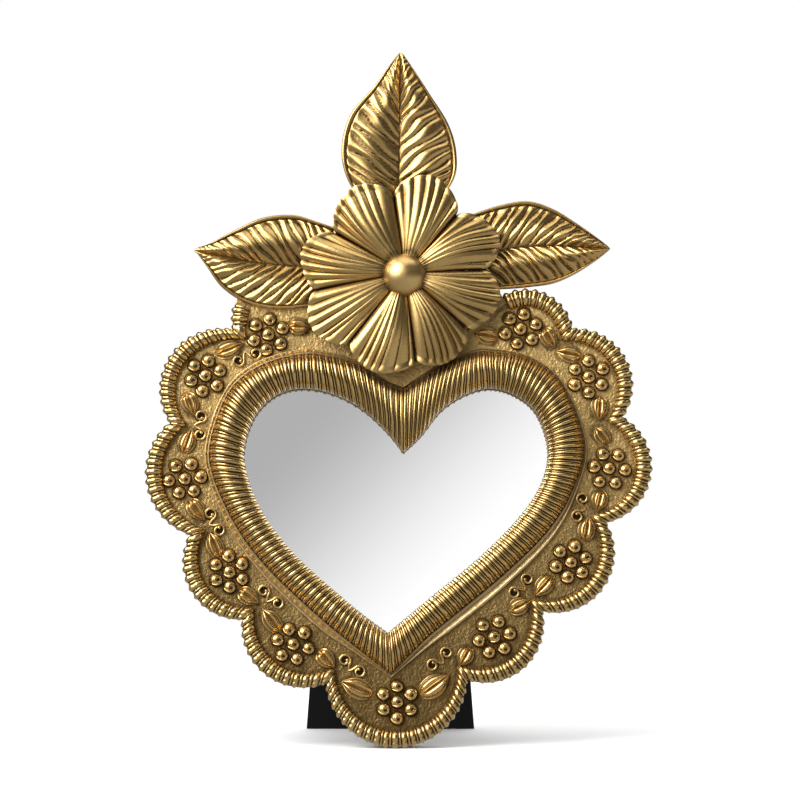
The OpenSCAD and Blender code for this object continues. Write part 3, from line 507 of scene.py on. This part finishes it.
bands = []
for side in heart_shares:
    inner, outer = heart_lines(side)
    wides = [Vector((share*ledge_wide, 0, 0)) for share in ledge_shares[side]]
    steps = 10*(len(outer) - 1)
    lines = []
    for out, back, rail, lip in ledge_profile:
        line = []
        for k in range(steps + 1):
            t = k/steps*(len(outer) - 1)
            foot, wide = curve_at(outer, t), curve_at(wides, t).x
            way = (foot - curve_at(inner, t)).normalized()
            # Where the ledge is wide, its lip is wider and higher too
            lip_share = min(1, wide/ledge_wide)**2
            lip_wide = 0.0007 + 0.0021*lip_share
            flat = max(0.0001, wide - 1.13*lip_wide)
            reach = flat*out if out < 1 else wide - lip_wide*back
            high = ledge_thick + rail_high*rail*min(1, flat/0.0012) + (0.0008 + 0.0003*lip_share)*lip
            spot = foot + way*(reach - (ledge_tuck if out == 0 else 0))
            line.append((spot.x, spot.y, slab + (high if lip >= 0 else 0)))
        lines.append(line)
    bands.append(strip("ledge_" + side, lines))
ledge = join_all(bands, "moulding_ledge")
bpy.ops.object.mode_set(mode="EDIT")
bpy.ops.mesh.select_all(action="SELECT")
bpy.ops.mesh.remove_doubles(threshold=0.00002)
bpy.ops.mesh.normals_make_consistent(inside=False)
bpy.ops.object.mode_set(mode="OBJECT")
bpy.ops.object.shade_smooth()
# Painted shade, with the patina of the finish: the band is darker the lower it lies, its rails and lip lighter
mark_groove(ledge, lambda p: 0.5 - (p.z - slab - ledge_thick)/0.0005)
stand_up(ledge)
dress(ledge, antique_gold("ledge_gold", gold=(0.74, 0.56, 0.29), roughness=0.3, bump=0.12))
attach(ledge, "frame")
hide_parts("moulding_plinth")

# Berries: small cast balls in clusters of seven, one cluster to a lobe, each wound round its crown with a
# thin coil that runs down to a pit painted dark, like a snail's shell, and ringed with a painted shadow on the
# ground. One berry is modelled and set down in its 77 places, each a little turned. The shares give each
# cluster's middle and how far it is turned.
berry_r = 0.0030
cluster_r = 0.0067
coil_steps = 30
# Height of the thin discs of painted shadow above the slab
shade_disc_high = 0.00004
cluster_shares = [
    (0.175, 0.601, 17), (0.273, 0.532, 30), (0.302, 0.401, 54), (0.247, 0.267, 16), (0.136, 0.160, 13),
    (-0.003, 0.068, 30), (-0.152, 0.150, 45), (-0.244, 0.253, 32), (-0.308, 0.386, 7), (-0.279, 0.534, 19),
    (-0.189, 0.593, 23)]


def set_down(unit, spot, turn, size):
    """Copy of a unit piece, scaled and turned flat on the slab at a spot."""
    copy = unit.copy()
    copy.data = unit.data.copy()
    bpy.context.scene.collection.objects.link(copy)
    copy.data.transform(Matrix.Translation((spot.x, spot.y, slab)) @ Matrix.Rotation(turn, 4, "Z")
        @ Matrix.Diagonal((*size, 1)))
    if size[0]*size[1] < 0:
        copy.data.flip_normals()
    return copy


def coiled_wire(name, points, thick):
    """Wire through points, each with its own share of the thickness, made a mesh."""
    bpy.ops.object.select_all(action="DESELECT")
    bpy.ops.curve.primitive_nurbs_path_add(location=(0, 0, 0))
    wire = bpy.context.object
    wire.name = name
    wire.data.splines.clear()
    spline = wire.data.splines.new("POLY")
    spline.points.add(len(points) - 1)
    for knot, (x, y, z, share) in zip(spline.points, points):
        knot.co = (x, y, z, 1)
        knot.radius = share
    wire.data.bevel_depth = thick
    wire.data.bevel_resolution = 2
    wire.data.use_fill_caps = True
    bpy.ops.object.convert(target="MESH")
    return bpy.context.object


def ball(name, r, spot, segments, rings):
    bpy.ops.object.select_all(action="DESELECT")
    bpy.ops.mesh.primitive_uv_sphere_add(segments=segments, ring_count=rings, radius=r, location=spot)
    made = bpy.context.object
    made.name = name
    bpy.ops.object.transform_apply(location=True)
    return made


def shade_disc(r, x):
    """Thin dark disc of painted shadow round the foot of a small piece, on the flat ground."""
    bpy.ops.object.select_all(action="DESELECT")
    bpy.ops.mesh.primitive_circle_add(vertices=16, radius=r, fill_type="TRIFAN", location=(x, 0, shade_disc_high))
    made = bpy.context.object
    bpy.ops.object.transform_apply(location=True)
    return made


ball_share, sink_share = 0.92, 0.15
body = ball("body", ball_share*berry_r, (0, 0, sink_share*berry_r), segments=20, rings=14)
bpy.ops.object.mode_set(mode="EDIT")
bpy.ops.mesh.select_all(action="SELECT")
bpy.ops.mesh.bisect(plane_co=(0, 0, 0), plane_no=(0, 0, 1), clear_inner=True)
bpy.ops.object.mode_set(mode="OBJECT")
# Painted shade: the pit by the crown is only painted dark, and the ball is painted darker towards its foot
painted_pit = Vector((0.32, -0.29, 0.93))*berry_r
mark_groove(body, lambda p: max(1.35 - (p - painted_pit).length/(0.45*berry_r), 0.8 - 2.2*p.z/berry_r))
# Painted shadow: a thin dark disc round the berry's foot
foot = shade_disc(1.04*berry_r, 0)
mark_groove(foot, lambda p: 1)
coil = []
for k in range(coil_steps + 1):
    t = k/coil_steps
    turn, out_r = -2.6 + 2*math.pi*1.5*t, 0.80 - 0.66*t**0.8
    x, y = 0.32*t + out_r*math.cos(turn), out_r*math.sin(turn) - 0.29*t
    high = sink_share + math.sqrt(max(0.03, ball_share**2 - x*x - y*y))
    coil.append((x*berry_r, y*berry_r, high*berry_r, min(1, 0.35 + 4*t)*(1 - 0.25*t)))
snail = coiled_wire("snail", coil, 0.235*berry_r)
# Painted shade: the coil is painted darker the lower it runs on the ball
mark_groove(snail, lambda p: 0.6 - p.z/berry_r*1.2)
berry = join_all([body, foot, snail], "berry")
bpy.ops.object.shade_smooth()
berries, berry_spots = [], []
for share_x, share_y, turn in cluster_shares:
    middle = on_slab((share_x, share_y))
    # Six berries stand round the seventh
    for k in range(7):
        around = math.radians(turn + 60*k)
        reach = cluster_r*shuffle.uniform(0.95, 1.05) if k < 6 else 0
        spot = middle + Vector((math.cos(around), math.sin(around), 0))*reach
        size = shuffle.uniform(0.96, 1.05)
        berry_spots.append(spot)
        berries.append(set_down(berry, spot, shuffle.uniform(-0.7, 0.5), (size, size, size)))
bpy.data.objects.remove(berry)
clusters = join_all(berries, "berries")
stand_up(clusters)
dress(clusters, antique_gold("berry_gold", gold=(0.68, 0.46, 0.18), roughness=0.2))
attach(clusters, "frame")
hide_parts("berry_clusters")

# Sprigs: small pointed leaves cast between the clusters, each with a raised border round two full halves and
# a furrow down its middle. One leaf is modelled from a grid and laid along each sprig's direction. The
# shares give its tail, its direction in degrees and its length.
sprig_rise = 0.0031
sprig_shares = [
    (-0.129, 0.603, 175, 0.027), (-0.226, 0.579, -159, 0.036), (-0.295, 0.478, 111, 0.030),
    (-0.299, 0.456, -110, 0.032), (-0.281, 0.328, 127, 0.031), (-0.272, 0.307, -67, 0.032),
    (-0.203, 0.209, 146, 0.029), (-0.195, 0.198, -52, 0.034), (-0.094, 0.118, 134, 0.028),
    (-0.081, 0.096, -23, 0.041), (0.070, 0.105, -144, 0.043), (0.088, 0.120, 62, 0.026),
    (0.188, 0.212, -153, 0.030), (0.196, 0.220, 49, 0.032), (0.272, 0.330, -99, 0.030),
    (0.285, 0.341, 77, 0.026), (0.283, 0.458, -50, 0.025), (0.288, 0.471, 88, 0.030),
    (0.229, 0.568, -11, 0.030), (0.224, 0.575, 122, 0.028), (0.109, 0.594, -11, 0.031)]
widest = 0.55
sprig_rows, sprig_columns = 22, 18
lines, grooves = [], []
# a runs over the leaf from edge to edge, from -1 to 1, and t from its tail to its tip
for row in range(sprig_rows + 1):
    a = 2*row/sprig_rows - 1
    line = []
    for column in range(sprig_columns + 1):
        t = column/sprig_columns
        if t < widest:
            half = 0.33*math.sin(math.pi/2*(t/widest))**1.1
        else:
            half = 0.33*math.sqrt(max(0, 1 - ((t - widest)/0.46)**2.4))
        border = math.exp(-((abs(a) - 0.90)/0.075)**2)
        full = math.sqrt(max(0, 1 - ((abs(a) - 0.40)/0.37)**2))
        tail_fade, tip_fade = min(1, 0.35 + 2.2*t), min(1, 4.5*(1.03 - t))
        z = (0.12 + 0.40*border + 0.80*full)*tail_fade*tip_fade if abs(a) < 1 else 0
        line.append((t, a*half, z))
        # Painted shade, with the patina of the finish: darker in the furrow and at the edge, outside the border and
        # halves
        grooves.append(0.85 - 1.0*border - 1.5*full)
    lines.append(line)
leaflet = strip("leaflet", lines)
bpy.ops.object.shade_smooth()
mark_points(leaflet, grooves)
leaflets = []
for share_x, share_y, turn, long in sprig_shares:
    turn = math.radians(turn)
    tail = on_slab((share_x, share_y)) - Vector((math.cos(turn), math.sin(turn), 0))*0.08*long*tall
    wide = 1.15*tall*min(1.2*long, max(long, 0.034))
    leaflets.append(set_down(leaflet, tail, turn, (1.18*long*tall, wide, sprig_rise)))
bpy.data.objects.remove(leaflet)
sprigs = join_all(leaflets, "sprig_leaves")
stand_up(sprigs)
dress(sprigs, antique_gold("sprig_gold", gold=(0.68, 0.46, 0.18), roughness=0.22))
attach(sprigs, "frame")
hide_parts("leaf_sprigs")

# Scrolls: pairs of curled cast wires between the sprigs, which part from one stalk like a ram's horns and end
# in a small ball. One curl is coiled with a tapering wire, and its pair is its mirror image.
curl_r = 0.0023
curl_thick = 0.00058
curl_steps = 28
knob_r = 0.00075
curl_out = 1.65*curl_r
scroll_shares = [
    (-0.219, 0.560, 202), (-0.286, 0.462, -93), (-0.265, 0.324, -62), (-0.184, 0.217, -41), (-0.067, 0.119, -38),
    (0.058, 0.129, 42), (0.175, 0.233, 47), (0.260, 0.345, 74)]
horn = [(0.02*curl_r, -1.15*curl_r, 0.0003, 0.7), (0.30*curl_r, -0.75*curl_r, 0.0004, 0.85),
    (0.55*curl_r, -0.3*curl_r, 0.0005, 1)]
for k in range(curl_steps + 1):
    t = k/curl_steps
    turn = math.radians(180 - 400*t)
    r = curl_r*(1 - 0.62*max(0, (t - 0.5)/0.5)**1.1)
    horn.append((curl_out + r*math.cos(turn), r*math.sin(turn), 0.0007 + 0.0003*t, 1 - 0.1*t))
curl = coiled_wire("curl", horn, curl_thick)
knob = ball("knob", knob_r, (horn[-1][0], horn[-1][1], 0.0011), segments=12, rings=8)
# Painted shadow: a thin dark disc round the curl on the flat ground
curl_shade_disc = shade_disc(1.15*curl_r, curl_out)
curl = join_all([curl, knob, curl_shade_disc], "curl")
bpy.ops.object.shade_smooth()
# Painted shade, with the patina of the finish: the curl is darker the lower it lies, darkest on its disc
mark_groove(curl, lambda p: 1 - p.z/0.0006)
curls = []
for share_x, share_y, turn in scroll_shares:
    for flip in (1, -1):
        curls.append(set_down(curl, on_slab((share_x, share_y)), math.radians(turn), (flip, 1, 1)))
bpy.data.objects.remove(curl)
scrolls = join_all(curls, "scroll_wires")
stand_up(scrolls)
dress(scrolls, antique_gold("scroll_gold", gold=(0.68, 0.46, 0.18), roughness=0.22))
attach(scrolls, "frame")
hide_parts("scrolls")

# Large leaves: three cast leaves behind the flower, whose halves swell between a thin raised edge and a sunken
# midrib, with rounded veins that leave the midrib steeply and sweep towards the edge. Each row of shares
# crosses a leaf from one edge over its midrib to the other, from its base to its tip.
leaf_edge = 0.0016
leaf_high = 0.0050
vein_deep = 0.0012
border_high = 0.0006
channel_deep = 0.0006
midrib_deep = 0.0009
leaf_veins = 17
vein_lead = 0.085
leaf_shares = {
    "top_leaf": [
        ((-0.039, 0.767), (-0.001, 0.754), (0.042, 0.767)), ((-0.073, 0.813), (-0.001, 0.777), (0.078, 0.814)),
        ((-0.083, 0.858), (0.000, 0.817), (0.083, 0.852)), ((-0.071, 0.908), (0.001, 0.866), (0.072, 0.894)),
        ((-0.036, 0.950), (0.001, 0.915), (0.045, 0.938)), ((-0.015, 0.979), (0.001, 0.958), (0.021, 0.975)),
        ((-0.002, 0.996), (0.002, 1.000), (0.007, 0.996))],
    "left_leaf": [
        ((-0.078, 0.636), (-0.063, 0.688), (-0.082, 0.742)), ((-0.134, 0.632), (-0.099, 0.688), (-0.117, 0.754)),
        ((-0.178, 0.629), (-0.131, 0.689), (-0.153, 0.764)), ((-0.219, 0.637), (-0.167, 0.692), (-0.197, 0.760)),
        ((-0.255, 0.660), (-0.207, 0.696), (-0.239, 0.741)), ((-0.278, 0.691), (-0.247, 0.704), (-0.272, 0.724)),
        ((-0.291, 0.709), (-0.296, 0.713), (-0.292, 0.717))],
    "right_leaf": [
        ((0.102, 0.764), (0.081, 0.699), (0.102, 0.656)), ((0.145, 0.778), (0.117, 0.706), (0.153, 0.658)),
        ((0.186, 0.784), (0.153, 0.715), (0.188, 0.661)), ((0.222, 0.773), (0.188, 0.719), (0.222, 0.666)),
        ((0.258, 0.751), (0.226, 0.720), (0.253, 0.679)), ((0.285, 0.732), (0.265, 0.718), (0.283, 0.698)),
        ((0.301, 0.720), (0.305, 0.716), (0.301, 0.712))]}
leaf_gold = antique_gold("leaf_gold", gold=(0.54, 0.355, 0.13), roughness=0.26, bump=0.05)
# Where the rows of points lie between the midrib and the edge, closest at both. a runs over a leaf from edge
# to edge, from -1 to 1, and t from its base to its tip.
half_outs = [0, 0.015, 0.035, 0.07, 0.12, 0.18, 0.25, 0.32, 0.39, 0.46, 0.53, 0.60, 0.67, 0.73, 0.79, 0.84, 0.88,
    0.905, 0.92, 0.935, 0.95, 0.965, 0.98, 0.99, 1.0]
leaf_outs = [-out for out in reversed(half_outs[1:])] + half_outs
for name, rows in leaf_shares.items():
    first, middle, second = ([on_slab(row[k]) for row in rows] for k in range(3))
    along_steps = leaf_veins*8
    lines, grooves = [], []
    for a in leaf_outs:
        out = abs(a)
        line = []
        for column in range(along_steps + 1):
            t = column/along_steps
            s = t*(len(rows) - 1)
            spot = curve_at(middle, s).lerp(curve_at(first if a < 0 else second, s), out)
            fade = min(1, (len(rows) - 1 - s)/1.4)**0.7
            full = 0.22 + 0.78*math.sin(math.pi*out**0.87)**2
            body = leaf_edge + (leaf_high - leaf_edge)*fade*full
            lead = vein_lead*(out**0.55 if a > 0 else 0.9*out)
            over_vein = (leaf_veins*(t - lead*fade) + 0.13*math.sin(37*t + 5*a) + 0.10*math.sin(61*t - 4*a))%1
            crest = math.sin(math.pi*over_vein)
            held = min(1, max(0, (0.93 - out)/0.07))*min(1, out/0.05)*min(1, 3*(1.0 - t))
            border = math.sqrt(max(0, 1 - ((out - 0.965)/0.035)**2))
            midrib = math.exp(-(out/0.03)**2)
            channel = math.exp(-((out - 0.922)/0.016)**2)*fade
            z = body - vein_deep*(1 - crest)*held + border_high*border*fade
            z = z - channel_deep*channel - midrib_deep*midrib*fade
            line.append((spot.x, spot.y, slab + max(0.0004, z)))
            # Painted shade, with the patina of the finish: darker between the veins, along the midrib and in the
            # channel
            grooves.append(1.1*(1 - crest)**2*held + 0.75*midrib*fade + 0.75*channel)
        lines.append(line)
    leaf = strip(name + "_cast", lines)
    mark_points(leaf, grooves)
    bpy.ops.object.mode_set(mode="EDIT")
    bpy.ops.mesh.select_all(action="SELECT")
    bpy.ops.mesh.region_to_loop()
    bpy.ops.mesh.extrude_edges_move()
    bpy.ops.object.mode_set(mode="OBJECT")
    # The leaf's back is flat and has no grooves
    for point, mark in zip(leaf.data.vertices, leaf.data.attributes["groove"].data):
        if point.select:
            point.co.z = slab
            mark.value = 0
    bpy.ops.object.mode_set(mode="EDIT")
    bpy.ops.mesh.fill_holes(sides=0)
    bpy.ops.mesh.select_all(action="SELECT")
    bpy.ops.mesh.normals_make_consistent(inside=False)
    bpy.ops.object.mode_set(mode="OBJECT")
    bpy.ops.object.shade_smooth_by_angle(angle=math.radians(60))
    stand_up(leaf)
    dress(leaf, leaf_gold)
    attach(leaf, "frame")
    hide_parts(name)

# Flower: eight fluted petals in one casting that sits on a round hub. Each petal is a grid laid between two
# notches, one edge over its neighbour, given its thickness by a solidify modifier. Notches are given by
# their bearings in degrees and their distances from the middle, and crests by theirs.
flower_middle = on_slab((0.008, 0.6775))
hub_high = 0.0063
petal_thick = 0.0020
petal_rise = 0.0052
flute_deep = 0.0014
overlap_high = 0.0008
petal_start = 0.006
notch_deep = 0.0028
notch_turns = [-42.0, 2.7, 48.6, 98, 149.7, 191, 232, 277.4]
notch_shares = [0.131, 0.121, 0.121, 0.121, 0.122, 0.138, 0.134, 0.135]
crest_shares = [0.141, 0.144, 0.145, 0.144, 0.150, 0.154, 0.148, 0.142]
flutes = 7
flute_steps = 9
petal_steps = 30
petal_count = len(notch_turns)
petal_base = slab + hub_high + petal_thick
petals = []
for i in range(petal_count):
    after = (i + 1)%petal_count
    begin = math.radians(notch_turns[i])
    sweep = (math.radians(notch_turns[after]) - begin)%(2*math.pi)
    low, next_low = tall*notch_shares[i] - notch_deep, tall*notch_shares[after] - notch_deep
    high = tall*crest_shares[i]
    lines, grooves = [], []
    # The flutes are of uneven width and height
    stops, heights = [0], []
    for k in range(flutes):
        stops.append(stops[-1] + shuffle.uniform(0.55, 1.6))
        heights.append(shuffle.uniform(0.6, 1.0))
    stops = [stop/stops[-1] for stop in stops]
    rows = []
    for k in range(flutes):
        rows += [(stops[k] + (stops[k + 1] - stops[k])*j/flute_steps, j/flute_steps, heights[k])
            for j in range(flute_steps)]
    rows.append((1, 0, 1))
    sway = shuffle.uniform(-0.10, 0.10)
    for s, over_flute, full in rows:
        notch = low + (next_low - low)*s
        crest = full*math.sin(math.pi*over_flute)**0.9
        reach = notch + (high - notch)*math.sin(math.pi*s)**0.60 + 0.0006*(crest - 0.5)*math.sin(math.pi*s)
        line = []
        for column in range(petal_steps + 1):
            away = petal_start + (reach - petal_start)*(column/petal_steps)
            share = away/reach
            turn = begin + sweep*(s + 0.07*math.sin(2*math.pi*s)*(share - 0.5)
                + sway*math.sin(math.pi*s)*math.sin(4*share))
            dome = 1 - ((share - 0.52)/0.50)**2
            cup = math.sin(math.pi*(0.05 + 0.90*s))**0.85
            lip = math.exp(-((share - 0.985)/0.02)**2)
            z = petal_rise*(0.08 + 0.92*dome)*(0.16 + 0.84*cup)
            z -= flute_deep*(1 - crest)*min(1, 0.06 + 1.2*share**1.8)*(1 - 0.6*lip)
            z += overlap_high*(0.5 - s)*min(1, 2*share) + 0.0005*lip
            x, y = flower_middle.x + away*math.cos(turn), flower_middle.y + away*math.sin(turn)
            line.append((x, y, petal_base + z))
            edge = math.exp(-(min(s, 1 - s)/0.03)**2)*min(1, 0.3 + share)
            # Painted shade, with the patina: darker between the flutes, less on the lip, at the petals' edges and
            # round the boss
            grooves.append(0.9*(1 - crest)**4*(1 - 0.7*lip)*min(1, 0.2 + 1.2*share) + 0.8*edge
                + 0.65*math.exp(-((share - 0.22)/0.05)**2))
        lines.append(line)
    petal = strip("petal", lines)
    mark_points(petal, grooves)
    thick = petal.modifiers.new("thickness", "SOLIDIFY")
    thick.thickness = petal_thick*0.75
    thick.offset = -1
    bpy.ops.object.modifier_apply(modifier="thickness")
    bpy.ops.object.shade_smooth_by_angle(angle=math.radians(60))
    petals.append(petal)
corolla = join_all(petals, "corolla")
stand_up(corolla)
dress(corolla, antique_gold("petal_gold", gold=(0.58, 0.385, 0.143), roughness=0.27, mottle=0.3))
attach(corolla, "frame")
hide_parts("flower")

# Boss: a smooth cast dome, glued over the spigot that comes through the flower from its hub, in a gold a
# little lighter than the petals'. The hub below the flower is dull dark brown: the brown ground of the
# finish together with painted shade under the petals.
boss_r = 0.0093
boss_high = 0.0070
boss_lift, boss_drop = 0.0014, 0.0010
dome_r = (boss_r**2 + boss_high**2)/(2*boss_high)
boss_middle = (flower_middle.x, flower_middle.y - boss_drop, petal_base + boss_lift + boss_high - dome_r)
boss = ball("boss_dome", dome_r, boss_middle, segments=64, rings=48)
bpy.ops.object.mode_set(mode="EDIT")
bpy.ops.mesh.select_all(action="SELECT")
bpy.ops.mesh.bisect(plane_co=(0, 0, petal_base), plane_no=(0, 0, 1), clear_inner=True, use_fill=True)
bpy.ops.object.mode_set(mode="OBJECT")
bpy.ops.object.shade_smooth_by_angle(angle=math.radians(50))
# Painted shade, with the patina of the finish: the dome is darker at its foot on the petals
mark_groove(boss, lambda p: 0.9 - (p.z - petal_base)/0.0009)
stand_up(boss)
dress(boss, antique_gold("boss_gold", gold=(0.60, 0.41, 0.165), roughness=0.34, mottle=0.0, bump=0.03))
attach(boss, "frame")
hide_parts("flower_boss")
# Painted shade: the hub under the petals is coloured a dull dark brown
dress(frame["nodes"]["flower_hub"], antique_gold("hub_ground_and_shade", gold=(0.2, 0.12, 0.04), roughness=0.5, mottle=0.6))

# Painted ground shade: a skin on the flat ground, painted darker round the ornament for the shade that falls
# there, darkest between the berries and beside the rim, the ledge and the leaves. It lies on the slab's face
# between the ribs and the rim, and reads how far each of its points lies from the ornament.
ground_shade_high = 0.00003
ground_shade_middle = on_slab((0, 0.36))
crown_share = (0.008, 0.683, 0.11)
spot_blur, rim_blur, rib_blur = 0.0012, 0.0014, 0.0016
# Each spot: its place, its radius and how dark the painted shade on the ground is round it
spots = [(spot, 0.0030, 0.62) for spot in berry_spots]
spots += [(on_slab(cluster), 0.0062, 0.48) for cluster in cluster_shares]
for share_x, share_y, turn, long in sprig_shares:
    way = Vector((math.cos(math.radians(turn)), math.sin(math.radians(turn)), 0))
    spots += [(on_slab((share_x, share_y)) + way*long*tall*part, 0.0036, 0.62) for part in (0.3, 0.5, 0.7)]
spots += [(on_slab(scroll), 0.0040, 0.4) for scroll in scroll_shares]
spot_finder = kdtree.KDTree(len(spots))
for k, (spot, _, _) in enumerate(spots):
    spot_finder.insert(spot, k)
spot_finder.balance()
edge_line = []
for side in heart_shares:
    outer = heart_lines(side)[1]
    edge_line += [curve_at(outer, k/12) for k in range(12*(len(outer) - 1) + 1)]
bearings = sorted((math.atan2(p.y - ground_shade_middle.y, p.x - ground_shade_middle.x), (p - ground_shade_middle).length)
    for p in edge_line)
rounds, outs = 840, 44
lines, grooves = [], []
for step in range(rounds + 1):
    turn = -math.pi + 2*math.pi*step/rounds
    way = Vector((math.cos(turn), math.sin(turn), 0))
    k = bisect.bisect(bearings, (turn, 0))
    before, after = bearings[k - 1], bearings[k%len(bearings)]
    part = ((turn - before[0])%(2*math.pi))/max(0.0001, (after[0] - before[0])%(2*math.pi))
    near = before[1] + (after[1] - before[1])*part
    far = near
    for lobe in lobe_shares + [crown_share]:
        offset = on_slab(lobe) - ground_shade_middle
        along, reach = offset.dot(way), lobe[2]*tall - (0.5*rim_wide if lobe != crown_share else 0)
        aside = offset.length_squared - along**2
        if aside < reach**2:
            far = max(far, along + math.sqrt(reach**2 - aside))
    line = []
    for row in range(outs + 1):
        spot = ground_shade_middle + way*(near + (far - near)*row/outs)
        line.append((spot.x, spot.y, slab + ground_shade_high))
        darkness = 0
        for _, found, away in spot_finder.find_n(spot, 5):
            _, spot_r, spot_dark = spots[found]
            darkness = max(darkness, spot_dark*math.exp(-(max(0, away - spot_r)/spot_blur)**2))
        from_rim = (far - near)*(1 - row/outs) - 0.5*rim_wide
        from_ribs = (far - near)*row/outs
        darkness = max(darkness, 0.55*math.exp(-(max(0, from_rim)/rim_blur)**2),
            0.5*math.exp(-(from_ribs/rib_blur)**2))
        grooves.append(darkness)
    lines.append(line)
ground_shade = strip("painted_ground_shade", lines)
bpy.ops.object.shade_smooth()
mark_points(ground_shade, grooves)
stand_up(ground_shade)
dress(ground_shade, cast_ground)
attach(ground_shade, "frame")

# Glass: a plain sheet cut to the heart and laid in from behind, clear, with its silvering on its back.
# The silvering is the thin back skin of the sheet, sliced off a copy of it.
silver_high = 0.0031
glass = frame["nodes"]["mirror_glass"]
clear_glass = bpy.data.materials.new("clear_glass")
clear_glass.use_nodes = True
pane = clear_glass.node_tree.nodes["Principled BSDF"]
pane.inputs["Base Color"].default_value = (0.985, 0.995, 0.99, 1)
pane.inputs["Roughness"].default_value = 0
pane.inputs["IOR"].default_value = 1.5
pane.inputs["Transmission Weight"].default_value = 1
dress(glass, clear_glass)
silver = glass.copy()
silver.data = glass.data.copy()
silver.name = "silvering"
bpy.context.scene.collection.objects.link(silver)
select_only(silver)
bpy.ops.object.parent_clear(type="CLEAR_KEEP_TRANSFORM")
silver_face = stand @ Vector((0, 0, silver_high))
glass_way = (stand_turn @ Vector((0, 0, 1))).normalized()
bpy.ops.object.mode_set(mode="EDIT")
bpy.ops.mesh.select_all(action="SELECT")
bpy.ops.mesh.remove_doubles(threshold=0.00001)
bpy.ops.mesh.select_all(action="SELECT")
bpy.ops.mesh.bisect(plane_co=silver_face, plane_no=glass_way, clear_outer=True, use_fill=True)
bpy.ops.object.mode_set(mode="OBJECT")
silver_coat = bpy.data.materials.new("silver_coat")
silver_coat.use_nodes = True
coat = silver_coat.node_tree.nodes["Principled BSDF"]
coat.inputs["Base Color"].default_value = (0.965, 0.957, 0.96, 1)
coat.inputs["Metallic"].default_value = 1
coat.inputs["Roughness"].default_value = 0
dress(silver, silver_coat)
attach(silver, "frame")

# Back: a grey pad and a brown hardboard heart behind the glass, held by six steel clips with screws,
# and a steel butt hinge that is screwed to the cast base and riveted to the strut.


def plain(name, color, roughness, bump, metallic=0.0, scale=600, stretch=(1, 1, 1)):
    """Plain finish with a fine grain, stretched where the real surface was brushed or rolled."""
    made = bpy.data.materials.new(name)
    made.use_nodes = True
    tree = made.node_tree
    shader = tree.nodes["Principled BSDF"]
    place = node(tree, "ShaderNodeMapping", {"Vector": node(tree, "ShaderNodeTexCoord").outputs["Object"],
        "Scale": stretch})
    grain = node(tree, "ShaderNodeTexNoise", {"Vector": place.outputs[0], "Scale": scale, "Detail": 3})
    tone = node(tree, "ShaderNodeMix", {0: grain.outputs[0], 6: (*(0.85*c for c in color), 1),
        7: (*(min(1, 1.15*c) for c in color), 1)}, data_type="RGBA")
    relief = node(tree, "ShaderNodeBump", {"Strength": bump, "Distance": 0.0002, "Height": grain.outputs[0]})
    tree.links.new(tone.outputs[2], shader.inputs["Base Color"])
    tree.links.new(relief.outputs[0], shader.inputs["Normal"])
    shader.inputs["Roughness"].default_value = roughness
    shader.inputs["Metallic"].default_value = metallic
    return made


dress(frame["nodes"]["felt_pad"], plain("grey_felt", (0.05, 0.05, 0.055), 0.95, bump=0.5))
dress(frame["nodes"]["backboard"], plain("brown_board", (0.13, 0.075, 0.04), 0.7, bump=0.3, scale=900))
steel = plain("plated_steel", (0.55, 0.55, 0.57), 0.32, bump=0.08, metallic=1.0, scale=400, stretch=(1, 1, 12))
for name in ["retaining_clips", "clip_screws", "hinge_plate", "hinge_screws", "hinge_pin", "hinge_leaf", "leg_rivets"]:
    dress(frame["nodes"][name], steel)

# Easel strut: a board 3 mm thick, wider at its foot, sawn with a soft edge and painted satin black.
# It is riveted to the hinge leaf, opens by 24 degrees, and its foot is cut off level with the table top.
foot_wide, top_wide, board_thick = 0.0735, 0.049, 0.003
strut_long, strut_head, strut_face = 0.15915, 0.004, 0.0025
foot_spare = 0.002
foot_gap = 0.0001
strut_open = math.radians(24)
bpy.ops.object.select_all(action="DESELECT")
bpy.ops.mesh.primitive_cube_add(size=1, location=(0, 0, 0))
strut_board = bpy.context.object
strut_board.name = "easel_board"
for point in strut_board.data.vertices:
    at_head = point.co.y > 0
    point.co = (math.copysign((top_wide if at_head else foot_wide)/2, point.co.x),
        strut_head if at_head else -strut_long - foot_spare, -strut_face - board_thick*(0.5 - point.co.z))
bevel = strut_board.modifiers.new("soft_edge", "BEVEL")
bevel.width = 0.0007
bevel.segments = 3
bpy.ops.object.modifier_apply(modifier="soft_edge")
strut_board.matrix_world = stand @ Matrix.Translation(pin_on_slab) @ Matrix.Rotation(strut_open, 4, "X")
bpy.ops.object.transform_apply(location=True, rotation=True, scale=True)
bpy.ops.object.mode_set(mode="EDIT")
bpy.ops.mesh.select_all(action="SELECT")
bpy.ops.mesh.bisect(plane_co=(0, 0, foot_gap), plane_no=(0, 0, 1), clear_inner=True, use_fill=True)
bpy.ops.object.mode_set(mode="OBJECT")
bpy.ops.object.shade_smooth_by_angle(angle=math.radians(40))
black_paint = plain("black_paint", (0.004, 0.004, 0.004), 0.45, bump=0.12, scale=350)
black_paint.node_tree.nodes["Principled BSDF"].inputs["Specular IOR Level"].default_value = 0.15
dress(strut_board, black_paint)
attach(strut_board, "strut")
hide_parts("easel_leg")
